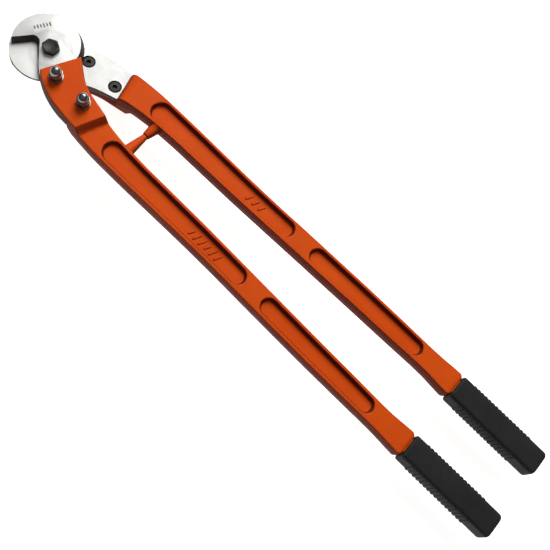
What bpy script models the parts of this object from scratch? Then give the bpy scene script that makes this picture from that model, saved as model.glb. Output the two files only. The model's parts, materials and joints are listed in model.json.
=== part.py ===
"""A long-handled cable cutter, closed and lying flat.

Two disc-jawed blades lie face to face on one pivot bolt. Each has a cast handle bolted to its tang and a rubber
grip pushed over the handle's end. The second blade, handle, grip and fastener set are the first turned over.

Working frame, in millimetres: the pivot axis is Z at the origin, the blades meet at z = 0, +X runs to the grips
and the first handle lies on -Y. At the end everything is moved so that the bounding box stands on the origin.
"""

import math

import bmesh
import bpy
import numpy as np
from mathutils import Euler, Vector

MM = 0.001
GAP = 0.3  # between touching pieces
RUNNING_GAP = 0.1  # radial, pivot bolt in the blades
OVERCUT = 1.0  # how far a cutter reaches past the face it cuts
BUILT_IN = 1.0  # how far an added shape reaches into the piece it joins
ROUND_STEPS = 40  # sides of a bore, a shank or a washer

# Blades
BLADE_THICK = 10.0
DISC_RADIUS = 47.5
DISC_CENTRE = (-8.0, 2.5)
DISC_START_DEG = 17.1  # where the round back meets the tang's inner edge
DISC_END_DEG = 224.0  # where the round back meets the tip of the cutting edge
BEVEL_RUN = 4.0  # how far the ground bevel runs back across the blade's thickness
BEVEL_LAND = 1.2  # flat height of the cutting edge above the shear face
RIM_RELIEF_RUN = 4.6  # ground off the round back beside the handle
RIM_RELIEF_FULL_DEG = 38.0  # the relief is full up to here
RIM_RELIEF_NONE_DEG = 108.0  # and has faded out here
BLADE_CHAMFER = 0.7
TANG_CORNER_ROUND = 3.0

# Pivot, an M16 bolt with a thin head
PIVOT_RADIUS = 8.0
PIVOT_HEAD_AF = 21.0
PIVOT_HEAD_HIGH = 6.0
PIVOT_HEAD_CHAMFER = 1.0
PIVOT_WASHER_RADIUS = 15.0
PIVOT_WASHER_THICK = 2.2
PIVOT_NUT_AF = 24.0
PIVOT_NUT_HIGH = 9.0
PIVOT_LOCK_NUT_HIGH = 5.0
PIVOT_END_PROUD = 2.0
PIVOT_END_CHAMFER = 1.2
NUT_CHAMFER = 0.9
PIVOT_TURN_DEG = 1.0  # how the hexagons stand

# Tang fasteners, M10 low-head screws with cap nuts
SCREW_SPACING = 50.0
SCREW_FIRST_X = 41.0
SCREW_Y = 29.0
SCREW_RADIUS = 5.0
SCREW_HEAD_RADIUS = 8.0
SCREW_HEAD_HIGH = 6.0
SCREW_HEAD_SUNK = 0.6
SCREW_SOCKET_AF = 6.0
SCREW_SOCKET_DEEP = 3.5
SCREW_SOCKET_TURN_DEG = 20.0
SCREW_HEAD_CHAMFER = 0.6
SCREW_END_CHAMFER = 1.0
SCREW_SHORT_OF_BORE = 1.5
COUNTERBORE_RADIUS = 9.0
CAP_WASHER_RADIUS = 10.0
CAP_WASHER_THICK = 2.0
CAP_NUT_AF = 17.0
CAP_NUT_HEX_HIGH = 8.0
CAP_NUT_HIGH = 18.0
CAP_NUT_DOME_RADIUS = 7.9
CAP_NUT_BORE_DEEP = 12.5
CAP_NUT_CHAMFER = 0.8
CAP_NUT_TURN_DEG = 12.0

# Handles
ARM_PROUD = 1.0  # how far the arm's faces stand above the blades'
ARM_THICK = 2.0 * (BLADE_THICK + ARM_PROUD)
LAP_THICK = 11.0
LAST_SCREW_X = SCREW_FIRST_X + SCREW_SPACING
ARM_START_X = LAST_SCREW_X + 39.0
ARM_END_X = 697.0
ARM_LONG = ARM_END_X - ARM_START_X
EDGE_ROUND = 1.8
SHOULDER_RUN = 13.0  # length of the slope beside the tang's end
SHOULDER_CLEARANCE = 0.5  # between the tang's end and the foot of that slope
STEP_RUN = 8.0  # length of the slope from the lap down to the arm
POCKET_RIM = 5.0
POCKET_DEPTH = 7.0
POCKET_DRAFT = 2.2
POCKET_LIP = 0.6
POCKET_LIP_HIGH = 0.8
POCKET_FLOOR_ROUND = 1.4
POCKET_SHARES = ((0.0317, 0.4832), (0.5414, 0.8907))  # each pocket's ends, as shares of the arm
MARK_HIGH = 1.2
MARK_TAPER = 0.4
PEG_X = ARM_START_X + 41.0
PEG_ROOT_RADIUS = 8.6
PEG_NECK_RADIUS = 7.4
PEG_NECK_LONG = 5.0
PEG_TIP_CHAMFER = 1.0
LONG_PEG_TIP_RADIUS = 4.3
SHORT_PEG_TIP_RADIUS = 5.5
PEGS_MEET_Y = 7.2

# Grips
GRIP_Y = 53.0  # the grips' middle lines stand this far each side of the tool's
GRIP_LONG = 148.0
GRIP_CLEAR = 1.0  # between the arm's end and the grip
GRIP_WIDE = 36.5
GRIP_THICK = 30.0
GRIP_END_WALL = 13.7
GRIP_END_ROUND = 6.0
GRIP_START_ROUND = 4.0
GRIP_EDGE_ROUND = 4.0
GRIP_START_X = ARM_END_X + GRIP_CLEAR
GRIP_END_X = GRIP_START_X + GRIP_LONG
CORE_WIDE = 23.0
CORE_THICK = 18.0
CORE_END_X = GRIP_END_X - GRIP_END_WALL - GAP
RIB_PITCH = 6.3
RIB_COUNT = 16
RIB_HIGH = 1.1
RIBS_IN = 18.0  # the first rib's distance from the grip's mouth

MATERIALS = {
    "polished_steel": ((0.78, 0.78, 0.76, 1.0), 1.0, 0.22),
    "black_steel": ((0.035, 0.035, 0.033, 1.0), 0.8, 0.45),
    "bright_zinc": ((0.8, 0.8, 0.8, 1.0), 1.0, 0.15),
    "orange_paint": ((0.72, 0.1, 0.012, 1.0), 0.0, 0.35),
    "black_rubber": ((0.025, 0.026, 0.026, 1.0), 0.0, 0.7),
}


def clear_scene():
    for obj in list(bpy.data.objects):
        bpy.data.objects.remove(obj, do_unlink=True)


def material(slot, owner):
    """Each piece has its own material, made from one of the named finishes."""
    colour, metallic, roughness = MATERIALS[slot]
    made = bpy.data.materials.new(f"{owner}_{slot}")
    made.use_nodes = True
    shader = made.node_tree.nodes["Principled BSDF"]
    shader.inputs["Base Color"].default_value = colour
    shader.inputs["Metallic"].default_value = metallic
    shader.inputs["Roughness"].default_value = roughness
    return made


# ---------------------------------------------------------------- outlines
def inset(outline, distance):
    """The closed counter-clockwise outline moved inwards, with mitred corners."""
    points = np.asarray(outline, float)
    before = points - np.roll(points, 1, axis=0)
    after = np.roll(points, -1, axis=0) - points
    before /= np.linalg.norm(before, axis=1)[:, None]
    after /= np.linalg.norm(after, axis=1)[:, None]
    normal_a = np.column_stack([-before[:, 1], before[:, 0]])
    normal_b = np.column_stack([-after[:, 1], after[:, 0]])
    share = 1.0 + (normal_a * normal_b).sum(axis=1)
    return points + (normal_a + normal_b) * distance / share[:, None]


def arc(centre, radius, start_deg, end_deg, count):
    angles = np.radians(np.linspace(start_deg, end_deg, count))
    return np.column_stack([centre[0] + radius * np.cos(angles), centre[1] + radius * np.sin(angles)])


def polygon(sides, across_flats, turn_deg=0.0):
    radius = across_flats / 2.0 / math.cos(math.pi / sides)
    return arc((0.0, 0.0), radius, turn_deg, turn_deg + 360.0 - 360.0 / sides, sides)


def rounded_corner(before, corner, after, radius, count=4):
    """The points of one corner of an outline, rounded by a short arc-like blend."""
    before, corner, after = (Vector(p) for p in (before, corner, after))
    start = corner + (before - corner).normalized() * radius
    end = corner + (after - corner).normalized() * radius
    blend = [k / (count - 1) for k in range(count)]
    return np.array([tuple(start * (1 - t) ** 2 + corner * (2 * t * (1 - t)) + end * t**2) for t in blend])


# ---------------------------------------------------------------- solids
def shells_to_object(name, shells, slot=None):
    """shells: a list of ring lists. Each ring is an Nx3 array and the first and last rings are capped."""
    mesh = bpy.data.meshes.new(name)
    work = bmesh.new()
    for rings in shells:
        made = []
        for ring in rings:
            if len(ring) == 1:
                made.append([work.verts.new([c * MM for c in ring[0]])])
            else:
                made.append([work.verts.new([c * MM for c in p]) for p in ring])
        for low, high in zip(made, made[1:]):
            count = max(len(low), len(high))
            for i in range(count):
                j = (i + 1) % count
                if len(low) == 1:
                    work.faces.new([low[0], high[j], high[i]])
                elif len(high) == 1:
                    work.faces.new([low[i], low[j], high[0]])
                else:
                    work.faces.new([low[i], low[j], high[j], high[i]])
        if len(made[0]) > 2:
            work.faces.new(list(reversed(made[0])))
        if len(made[-1]) > 2:
            work.faces.new(made[-1])
    bmesh.ops.recalc_face_normals(work, faces=work.faces)
    work.to_mesh(mesh)
    work.free()
    made = bpy.data.objects.new(name, mesh)
    bpy.context.scene.collection.objects.link(made)
    if slot:
        mesh.materials.append(material(slot, name))
    return made


def slab_rings(levels):
    """levels: (z, outline) pairs from bottom to top, all outlines with the same number of points."""
    return [np.column_stack([outline, np.full(len(outline), z)]) for z, outline in levels]


def lathe_rings(profile, centre=(0.0, 0.0), steps=ROUND_STEPS):
    """profile: (radius, z) pairs from bottom to top."""
    rings = []
    for radius, z in profile:
        if radius == 0.0:
            rings.append(np.array([[centre[0], centre[1], z]]))
        else:
            flat = arc(centre, radius, 0.0, 360.0 - 360.0 / steps, steps)
            rings.append(np.column_stack([flat, np.full(steps, z)]))
    return rings


def cylinder_rings(radius, low, high, centre=(0.0, 0.0), steps=ROUND_STEPS):
    return lathe_rings([(radius, low), (radius, high)], centre, steps)


def as_helper(obj):
    obj.hide_render = True
    obj.display_type = "WIRE"
    return obj


def boolean(target, tool, operation):
    step = target.modifiers.new(tool.name, "BOOLEAN")
    step.operation = operation
    step.solver = "EXACT"
    step.object = as_helper(tool)
    return target


def turned_over(obj):
    """Turns the mesh half a turn about X, as the second half of the tool is."""
    obj.data.transform(Euler((math.pi, 0.0, 0.0)).to_matrix().to_4x4())
    return obj


def shade_round(obj, angle_deg=35.0):
    for face in obj.data.polygons:
        face.use_smooth = True
    obj.data.set_sharp_from_angle(angle=math.radians(angle_deg))


# ---------------------------------------------------------------- blade
# The first blade's inner mouth, from the tip inwards to the tang. The last value is its share of the ground bevel.
MOUTH = (
    (-27.3, -6.8, 1.0),
    (-24.7, -5.1, 0.9),
    (-21.0, -5.4, 0.8),
    (-17.2, -8.3, 0.7),
    (-12.6, -12.4, 0.55),
    (-3.5, -20.3, 0.35),
    (4.5, -27.3, 0.15),
)
TANG_OUTER = (
    (12.0, -33.0),
    (18.5, -37.8),
    (26.8, -43.0),
    (38.0, -48.8),
    (50.3, -53.4),
    (64.0, -57.0),
    (78.0, -59.0),
)
TANG_END = ((LAST_SCREW_X + 1.8, -59.5), (LAST_SCREW_X + 16.0, -17.9))
TANG_INNER = (
    (96.0, -14.2),
    (85.0, -10.3),
    (76.0, -6.6),
    (67.6, -2.2),
    (58.0, 4.2),
    (49.6, 10.0),
    (43.0, 14.0),
)


def round_back(bevel, end_deg, count=44):
    """The disc's round back at one height, drawn in by the relief on its rim."""
    degrees = np.linspace(DISC_START_DEG, end_deg, count)
    faded = np.interp(degrees, (RIM_RELIEF_FULL_DEG, RIM_RELIEF_NONE_DEG), (1.0, 0.0)) ** 0.6
    radius = DISC_RADIUS - RIM_RELIEF_RUN * faded * bevel / BEVEL_RUN
    angles = np.radians(degrees)
    return np.column_stack([radius * np.cos(angles), radius * np.sin(angles)]) + DISC_CENTRE


def blade_outline(bevel):
    """The blade's outline at one height, with the cutting edge moved back by bevel."""
    tip_slide = math.degrees(bevel * 1.05 / DISC_RADIUS)
    back = round_back(bevel, DISC_END_DEG - tip_slide)
    mouth = np.array([(x, y) for x, y, _ in MOUTH])
    chain = np.vstack([back[-1:], mouth, TANG_OUTER[:1]])
    along = chain[2:] - chain[:-2]
    along /= np.linalg.norm(along, axis=1)[:, None]
    inward = np.column_stack([-along[:, 1], along[:, 0]])
    weight = np.array([w for _, _, w in MOUTH])
    mouth = mouth + inward * (weight * bevel)[:, None]
    corner_a = rounded_corner(TANG_OUTER[-1], TANG_END[0], TANG_END[1], TANG_CORNER_ROUND)
    corner_b = rounded_corner(TANG_END[0], TANG_END[1], TANG_INNER[0], TANG_CORNER_ROUND)
    return np.vstack([back, mouth, TANG_OUTER, corner_a, corner_b, TANG_INNER])


def screw_centres():
    return [(SCREW_FIRST_X + i * SCREW_SPACING, -SCREW_Y) for i in range(2)]


def build_blade(name):
    bottom = GAP / 2.0
    edge_top = blade_outline(BEVEL_RUN)
    rings = slab_rings(
        [
            (bottom, blade_outline(0.0)),
            (bottom + BEVEL_LAND, blade_outline(0.0)),
            (BLADE_THICK - BLADE_CHAMFER, blade_outline(BEVEL_RUN * 0.92)),
            (BLADE_THICK, inset(edge_top, BLADE_CHAMFER)),
        ]
    )
    blade = shells_to_object(name, [rings], "polished_steel")
    holes = [cylinder_rings(PIVOT_RADIUS + RUNNING_GAP, -OVERCUT, BLADE_THICK + OVERCUT)]
    counterbore_top = SCREW_HEAD_SUNK + SCREW_HEAD_HIGH + GAP
    for x, y in screw_centres():
        profile = [
            (COUNTERBORE_RADIUS, -OVERCUT),
            (COUNTERBORE_RADIUS, counterbore_top),
            (SCREW_RADIUS + GAP, counterbore_top),
            (SCREW_RADIUS + GAP, BLADE_THICK + OVERCUT),
        ]
        holes.append(lathe_rings(profile, (x, y)))
    cutter = shells_to_object(f"{name}_holes", holes)
    boolean(blade, cutter, "DIFFERENCE")
    return blade, [cutter]


# ---------------------------------------------------------------- handle
# The arm's run: share of its length, share of the way from the lap's middle to the grip's, and its width. The
# first row lies under the lap, where the slope beside the tang begins.
LAP_MIDDLE_Y = 41.8
ARM_STATIONS = (
    (-0.040, -0.240, 43.8),
    (0.000, 0.000, 43.8),
    (0.0265, 0.170, 42.4),
    (0.062, 0.290, 40.3),
    (0.134, 0.393, 38.4),
    (0.229, 0.393, 37.4),
    (0.3245, 0.411, 36.4),
    (0.418, 0.500, 35.6),
    (0.5115, 0.638, 35.5),
    (0.6965, 0.862, 34.9),
    (0.811, 0.946, 34.0),
    (0.8995, 1.013, 32.5),
    (0.938, 1.027, 33.2),
    (0.970, 1.018, 36.2),
    (0.9895, 1.018, 37.2),
    (1.000, 1.018, 32.0),
)
LAP_HEAD = ((38.9, 18.0), (28.6, -8.0), (18.9, -36.5))
LAP_OUTER = ((26.8, -42.6), (38.0, -48.6), (50.3, -53.2), (64.0, -56.9), (78.0, -59.0), (94.0, -60.6))
LAP_INNER = ((104.7, -14.4), (88.3, -11.0), (78.0, -7.6), (67.9, -2.8), (58.0, 4.0), (49.6, 10.2))
STEP_TOP = ((LAST_SCREW_X + 17.8, -61.7), (LAST_SCREW_X + 31.4, -18.4))
STEP_SLANT = 0.28  # how fast the step's inner end follows the arm's inner edge


def along_arm(share):
    return ARM_START_X + share * ARM_LONG


def arm_edge(x, side):
    """y of the arm's inner (side 1) or outer (side 2) edge at x, on -Y."""
    shares, rises, widths = np.array(ARM_STATIONS).T
    share = (x - ARM_START_X) / ARM_LONG
    middle = LAP_MIDDLE_Y + (GRIP_Y - LAP_MIDDLE_Y) * np.interp(share, shares, rises)
    half = np.interp(share, shares, widths) / 2.0
    return float(half - middle) if side == 1 else float(-half - middle)


def arm_outline(shoulder):
    """The arm's outline with its head end moved along by shoulder."""
    normal = Vector((TANG_END[1][1] - TANG_END[0][1], TANG_END[0][0] - TANG_END[1][0])).normalized()
    shift = normal * (shoulder + SHOULDER_CLEARANCE)
    outer_x = TANG_END[0][0] + shift.x
    inner_x = TANG_END[1][0] + shift.x
    outer_y = arm_edge(ARM_START_X, 2)
    xs = [along_arm(share) for share, _, _ in ARM_STATIONS[1:]]
    outer = [(outer_x, outer_y + 0.5)] + [(x, arm_edge(x, 2)) for x in xs]
    inner = [(x, arm_edge(x, 1)) for x in reversed(xs)] + [(inner_x, arm_edge(inner_x, 1))]
    return np.array(outer + inner)


def lap_outline(step):
    """The lap's outline, its end moved out along the arm by step as the slope runs down."""
    (outer_x, outer_y), (inner_x, inner_y) = STEP_TOP
    end = ((outer_x + step, outer_y), (inner_x + step, inner_y - STEP_SLANT * step))
    head_inner, head_middle, head_outer = LAP_HEAD
    return np.array([head_outer, *LAP_OUTER, *end, *LAP_INNER, head_inner, head_middle])


def pocket_outline(start, end, rim, count=9):
    """A round-ended outline that follows the arm's edges, rim inside them."""
    rows = [(x, arm_edge(x, 2) + rim, arm_edge(x, 1) - rim) for x in np.linspace(start, end, count)]
    (_, low_a, high_a), (_, low_b, high_b) = rows[0], rows[-1]
    half_a, half_b = (high_a - low_a) / 2.0, (high_b - low_b) / 2.0
    round_a = arc((start + half_a, (low_a + high_a) / 2.0), half_a, 90.0, 270.0, count)
    round_b = arc((end - half_b, (low_b + high_b) / 2.0), half_b, -90.0, 90.0, count)
    lower = [(x, low) for x, low, _ in rows[1:-1]]
    upper = [(x, high) for x, _, high in reversed(rows[1:-1])]
    return np.vstack([round_a, lower, round_b, upper])


def turned_down(levels):
    """The same levels for the lower face of the arm."""
    return [(-z, outline) for z, outline in reversed(levels)]


def pocket_levels(start, end):
    """The pocket in the upper face, from its floor to above its lip."""
    half = ARM_THICK / 2.0
    floor_z = half - POCKET_DEPTH

    def at(draw_in):
        return pocket_outline(start + draw_in, end - draw_in, POCKET_RIM + draw_in)

    return [
        (floor_z, at(POCKET_DRAFT)),
        (floor_z + POCKET_FLOOR_ROUND, at(POCKET_DRAFT * 0.6)),
        (half - POCKET_LIP_HIGH, at(0.0)),
        (half, at(-POCKET_LIP)),
        (half + OVERCUT, at(-POCKET_LIP)),
    ]


def mark_levels(centre, length, width, turn_deg):
    """A small raised bar with round ends on the upper pocket's floor."""
    floor = ARM_THICK / 2.0 - POCKET_DEPTH
    half = (length - width) / 2.0
    ends = [arc((half, 0), width / 2.0, -90, 90, 5), arc((-half, 0), width / 2.0, 90, 270, 5)]
    turn = math.radians(turn_deg)
    spin = np.array([[math.cos(turn), math.sin(turn)], [-math.sin(turn), math.cos(turn)]])
    outline = np.vstack(ends) @ spin + centre
    return [(floor - BUILT_IN, outline), (floor + MARK_HIGH, inset(outline, MARK_TAPER))]


# Rows of plain bars: start as a share of the first pocket, pitch, lengths in turn, width, turn, on the upper face
MARK_ROWS = (
    (0.629, 9.6, (11.0, 14.0, 14.0, 11.0, 14.0, 14.0), 3.4, 68.0, True),
    (0.700, 11.0, (13.0, 13.0, 13.0), 3.6, 112.0, False),
)


def mark_set():
    """Plain raised bars where casting marks would be: a long row on one face, a short one on the other."""
    start, end = (along_arm(share) for share in POCKET_SHARES[0])
    marks = []
    for share, pitch, lengths, width, turn_deg, on_top in MARK_ROWS:
        for i, length in enumerate(lengths):
            x = start + share * (end - start) + i * pitch
            centre = np.array([x, (arm_edge(x, 1) + arm_edge(x, 2)) / 2.0])
            levels = mark_levels(centre, length, width, turn_deg)
            marks.append(slab_rings(levels if on_top else turned_down(levels)))
    return marks


def peg_rings(tip_radius, tip_y, root_y):
    """The stop peg, a cone along Y from inside the arm to its tip near the middle of the tool."""
    steps = 24
    rings = []
    for y, radius in (
        (root_y - PEG_NECK_LONG, PEG_ROOT_RADIUS),
        (root_y + BUILT_IN, PEG_ROOT_RADIUS),
        (root_y + PEG_NECK_LONG, PEG_NECK_RADIUS),
        (tip_y - PEG_TIP_CHAMFER, tip_radius),
        (tip_y, tip_radius - PEG_TIP_CHAMFER),
    ):
        flat = arc((PEG_X, 0.0), radius, 0.0, 360.0 - 360.0 / steps, steps)
        rings.append(np.column_stack([flat[:, 0], np.full(steps, y), -flat[:, 1]]))
    return rings


# The slope beside the tang, from the underside up: share of the arm's half thickness, share of the slope's run,
# and share of the edge's rounding.
SHOULDER_SLOPE = ((1.0, 1.0, 1.0), (0.93, 0.72, 0.35), (0.75, 0.42, 0.0), (0.45, 0.17, 0.0), (0.1, 0.0, 0.0))


def arm_levels():
    half = ARM_THICK / 2.0
    levels = []
    for depth, run, rounding in SHOULDER_SLOPE:
        levels.append((-half * depth, inset(arm_outline(SHOULDER_RUN * run), EDGE_ROUND * rounding)))
    for depth, _, rounding in reversed(SHOULDER_SLOPE[:2]):
        levels.append((half * depth, inset(arm_outline(0.0), EDGE_ROUND * rounding)))
    return levels


def lap_levels():
    """The lap and the step that runs down from it into the arm."""
    low = BLADE_THICK + GAP
    high = BLADE_THICK + LAP_THICK
    return [
        (low, lap_outline(STEP_RUN * 1.05)),
        (low + (high - low) * 0.15, lap_outline(STEP_RUN * 0.95)),
        (high - EDGE_ROUND * 0.8, lap_outline(STEP_RUN * 0.1)),
        (high, inset(lap_outline(0.0), EDGE_ROUND * 0.8)),
    ]


def bar_outline(start_x, end_x, half_wide):
    """A plain rectangle on the grip's line, for the core and for the hollow that takes it."""
    low, high = -GRIP_Y - half_wide, -GRIP_Y + half_wide
    return np.array([(start_x, low), (end_x, low), (end_x, high), (start_x, high)])


def build_handle(name, peg_tip_radius, peg_tip_y):
    handle = shells_to_object(name, [slab_rings(arm_levels())], "orange_paint")
    core = bar_outline(ARM_END_X - 20.0 * BUILT_IN, CORE_END_X, CORE_WIDE / 2.0)
    core_rings = slab_rings([(-CORE_THICK / 2.0, core), (CORE_THICK / 2.0, core)])
    peg = peg_rings(peg_tip_radius, peg_tip_y, arm_edge(PEG_X, 1))
    adds = shells_to_object(f"{name}_lap_core_peg", [slab_rings(lap_levels()), core_rings, peg])
    boolean(handle, adds, "UNION")

    cuts = []
    for shares in POCKET_SHARES:
        levels = pocket_levels(*(along_arm(share) for share in shares))
        cuts += [slab_rings(levels), slab_rings(turned_down(levels))]
    for centre in screw_centres():
        cuts.append(cylinder_rings(SCREW_RADIUS + GAP, 0.0, BLADE_THICK + LAP_THICK + OVERCUT, centre))
    cutter = shells_to_object(f"{name}_pockets_bores", cuts)
    boolean(handle, cutter, "DIFFERENCE")
    marks = shells_to_object(f"{name}_marks", mark_set())
    boolean(handle, marks, "UNION")
    return handle, [adds, cutter, marks]


# ---------------------------------------------------------------- grip
def grip_outline(shrink, rib):
    """The grip's outline on -Y: a round-cornered bar with square ribs along both long edges."""
    half = GRIP_WIDE / 2.0 - shrink
    start, end = GRIP_START_X + shrink * 0.4, GRIP_END_X - shrink
    corner_a = max(GRIP_START_ROUND - shrink, 0.5)
    corner_b = max(GRIP_END_ROUND - shrink, 0.5)
    lower = []
    upper = []
    for i in range(RIB_COUNT):
        x = GRIP_START_X + RIBS_IN + i * RIB_PITCH
        profile = ((0.0, 0.0), (0.16, rib), (0.62, rib), (0.78, 0.0))
        lower += [(x + share * RIB_PITCH, -half - high) for share, high in profile]
        upper += [(x + share * RIB_PITCH, half + high) for share, high in profile]
    points = list(arc((start + corner_a, -half + corner_a), corner_a, 180, 270, 4))
    points += lower
    points += list(arc((end - corner_b, -half + corner_b), corner_b, 270, 360, 7))
    points += list(arc((end - corner_b, half - corner_b), corner_b, 0, 90, 7))
    points += list(reversed(upper))
    points += list(arc((start + corner_a, half - corner_a), corner_a, 90, 180, 4))
    return np.array([tuple(p) for p in points]) + np.array([0.0, -GRIP_Y])


def build_grip(name):
    half = GRIP_THICK / 2.0
    levels = [
        (-half, grip_outline(GRIP_EDGE_ROUND, 0.0)),
        (-half + GRIP_EDGE_ROUND * 0.3, grip_outline(GRIP_EDGE_ROUND * 0.3, 0.3 * RIB_HIGH)),
        (-half + GRIP_EDGE_ROUND, grip_outline(0.0, RIB_HIGH)),
        (half - GRIP_EDGE_ROUND, grip_outline(0.0, RIB_HIGH)),
        (half - GRIP_EDGE_ROUND * 0.3, grip_outline(GRIP_EDGE_ROUND * 0.3, 0.3 * RIB_HIGH)),
        (half, grip_outline(GRIP_EDGE_ROUND, 0.0)),
    ]
    grip = shells_to_object(name, [slab_rings(levels)], "black_rubber")
    hollow = bar_outline(GRIP_START_X - OVERCUT, CORE_END_X + GAP, CORE_WIDE / 2.0 + GAP)
    deep = CORE_THICK / 2.0 + GAP
    cutter = shells_to_object(f"{name}_hollow", [slab_rings([(-deep, hollow), (deep, hollow)])])
    boolean(grip, cutter, "DIFFERENCE")
    return grip, [cutter]


# ---------------------------------------------------------------- fasteners
def hex_levels(across_flats, low, high, chamfer, turn_deg, both=True):
    """A hexagon prism whose ends are drawn in a little, as a chamfered head or nut is."""
    full = polygon(6, across_flats, turn_deg)
    small = polygon(6, across_flats - 2.0 * chamfer, turn_deg)
    levels = [(low, small), (low + chamfer * 0.6, full)] if both else [(low, full)]
    return slab_rings(levels + [(high - chamfer * 0.6, full), (high, small)])


def build_pivot_bolt():
    seat = BLADE_THICK + GAP
    hexagons_turn = PIVOT_TURN_DEG + 30.0
    top = seat + PIVOT_HEAD_HIGH
    head = hex_levels(PIVOT_HEAD_AF, seat, top, PIVOT_HEAD_CHAMFER, hexagons_turn, both=False)
    bolt = shells_to_object("pivot_bolt", [head], "black_steel")
    end = pivot_stack()["end"]
    profile = [
        (PIVOT_RADIUS - PIVOT_END_CHAMFER, end),
        (PIVOT_RADIUS, end + PIVOT_END_CHAMFER),
        (PIVOT_RADIUS, seat + BUILT_IN),
    ]
    shank = shells_to_object("pivot_bolt_shank", [lathe_rings(profile)])
    boolean(bolt, shank, "UNION")
    return bolt, [shank]


def pivot_stack():
    """Heights of the pieces on the pivot bolt behind the second blade, top to bottom."""
    washer_top = -BLADE_THICK - GAP
    nut_top = washer_top - PIVOT_WASHER_THICK - GAP
    lock_top = nut_top - PIVOT_NUT_HIGH - GAP
    end = lock_top - PIVOT_LOCK_NUT_HIGH - PIVOT_END_PROUD
    return {"washer_top": washer_top, "nut_top": nut_top, "lock_top": lock_top, "end": end}


def ring_solid(name, shells, bore_radius, low, high, slot, centre=(0.0, 0.0)):
    solid = shells_to_object(name, shells, slot)
    bore = cylinder_rings(bore_radius, low - OVERCUT, high + OVERCUT, centre)
    cutter = shells_to_object(f"{name}_bore", [bore])
    boolean(solid, cutter, "DIFFERENCE")
    return solid, [cutter]


def build_pivot_fasteners():
    stack = pivot_stack()
    bore = PIVOT_RADIUS + GAP
    made = []
    top = stack["washer_top"]
    low = top - PIVOT_WASHER_THICK
    shells = [cylinder_rings(PIVOT_WASHER_RADIUS, low, top)]
    made.append(ring_solid("pivot_washer", shells, bore, low, top, "bright_zinc"))
    for name, high, tall in (
        ("pivot_nut", stack["nut_top"], PIVOT_NUT_HIGH),
        ("pivot_lock_nut", stack["lock_top"], PIVOT_LOCK_NUT_HIGH),
    ):
        low = high - tall
        shells = [hex_levels(PIVOT_NUT_AF, low, high, NUT_CHAMFER, PIVOT_TURN_DEG)]
        made.append(ring_solid(name, shells, bore, low, high, "black_steel"))
    return made


def build_screw(name, centre):
    """A low-head socket screw whose head lies sunk in the tang and whose shank ends inside the cap nut."""
    head_low = SCREW_HEAD_SUNK
    head_high = head_low + SCREW_HEAD_HIGH
    end = cap_nut_low() + CAP_NUT_BORE_DEEP - SCREW_SHORT_OF_BORE
    profile = [
        (SCREW_HEAD_RADIUS - SCREW_HEAD_CHAMFER, head_low),
        (SCREW_HEAD_RADIUS, head_low + SCREW_HEAD_CHAMFER),
        (SCREW_HEAD_RADIUS, head_high),
        (SCREW_RADIUS, head_high),
        (SCREW_RADIUS, end - SCREW_END_CHAMFER),
        (SCREW_RADIUS - SCREW_END_CHAMFER, end),
    ]
    screw = shells_to_object(name, [lathe_rings(profile, centre, 32)], "black_steel")
    socket = polygon(6, SCREW_SOCKET_AF, SCREW_SOCKET_TURN_DEG) + np.array(centre)
    rings = slab_rings([(head_low - OVERCUT, socket), (head_low + SCREW_SOCKET_DEEP, socket)])
    cutter = shells_to_object(f"{name}_socket", [rings])
    boolean(screw, cutter, "DIFFERENCE")
    return screw, [cutter]


def cap_washer_low():
    return BLADE_THICK + LAP_THICK + GAP


def cap_nut_low():
    return cap_washer_low() + CAP_WASHER_THICK + GAP


def build_cap_nut(name, centre):
    low = cap_nut_low()
    shift = np.array([centre[0], centre[1], 0.0])
    hexagon = hex_levels(CAP_NUT_AF, low, low + CAP_NUT_HEX_HIGH, CAP_NUT_CHAMFER, CAP_NUT_TURN_DEG)
    nut = shells_to_object(name, [[ring + shift for ring in hexagon]], "bright_zinc")
    top = low + CAP_NUT_HIGH
    radius = CAP_NUT_DOME_RADIUS
    profile = [(radius, low + CAP_NUT_HEX_HIGH - BUILT_IN), (radius, top - radius)]
    rounds = 7
    for k in range(1, rounds):
        angle = math.radians(90.0 * k / rounds)
        profile.append((radius * math.cos(angle), top - radius + radius * math.sin(angle)))
    profile.append((0.0, top))
    dome = shells_to_object(f"{name}_dome", [lathe_rings(profile, centre, 28)])
    boolean(nut, dome, "UNION")
    bore = shells_to_object(
        f"{name}_bore", [cylinder_rings(SCREW_RADIUS + GAP, low - OVERCUT, low + CAP_NUT_BORE_DEEP, centre, 28)]
    )
    boolean(nut, bore, "DIFFERENCE")
    return nut, [dome, bore]


def build_cap_washer(name, centre):
    low = cap_washer_low()
    high = low + CAP_WASHER_THICK
    shells = [cylinder_rings(CAP_WASHER_RADIUS, low, high, centre, 32)]
    return ring_solid(name, shells, SCREW_RADIUS + GAP, low, high, "bright_zinc", centre)


# ---------------------------------------------------------------- assembly
def build_half(side, over):
    """One half of the tool. over turns the finished half over for the second side."""
    long_peg = not over
    peg_radius = LONG_PEG_TIP_RADIUS if long_peg else SHORT_PEG_TIP_RADIUS
    peg_tip = PEGS_MEET_Y - GAP / 2.0 if long_peg else -PEGS_MEET_Y - GAP / 2.0
    built = [build_blade(f"blade_{side}")]
    built.append(build_handle(f"handle_{side}", peg_radius, peg_tip))
    built.append(build_grip(f"grip_{side}"))
    for i, centre in enumerate(screw_centres(), 1):
        built.append(build_screw(f"tang_screw_{side}_{i}", centre))
        built.append(build_cap_washer(f"cap_washer_{side}_{i}", centre))
        built.append(build_cap_nut(f"cap_nut_{side}_{i}", centre))
    if over:
        for piece, helpers in built:
            for obj in [piece, *helpers]:
                turned_over(obj)
    return built


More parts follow.
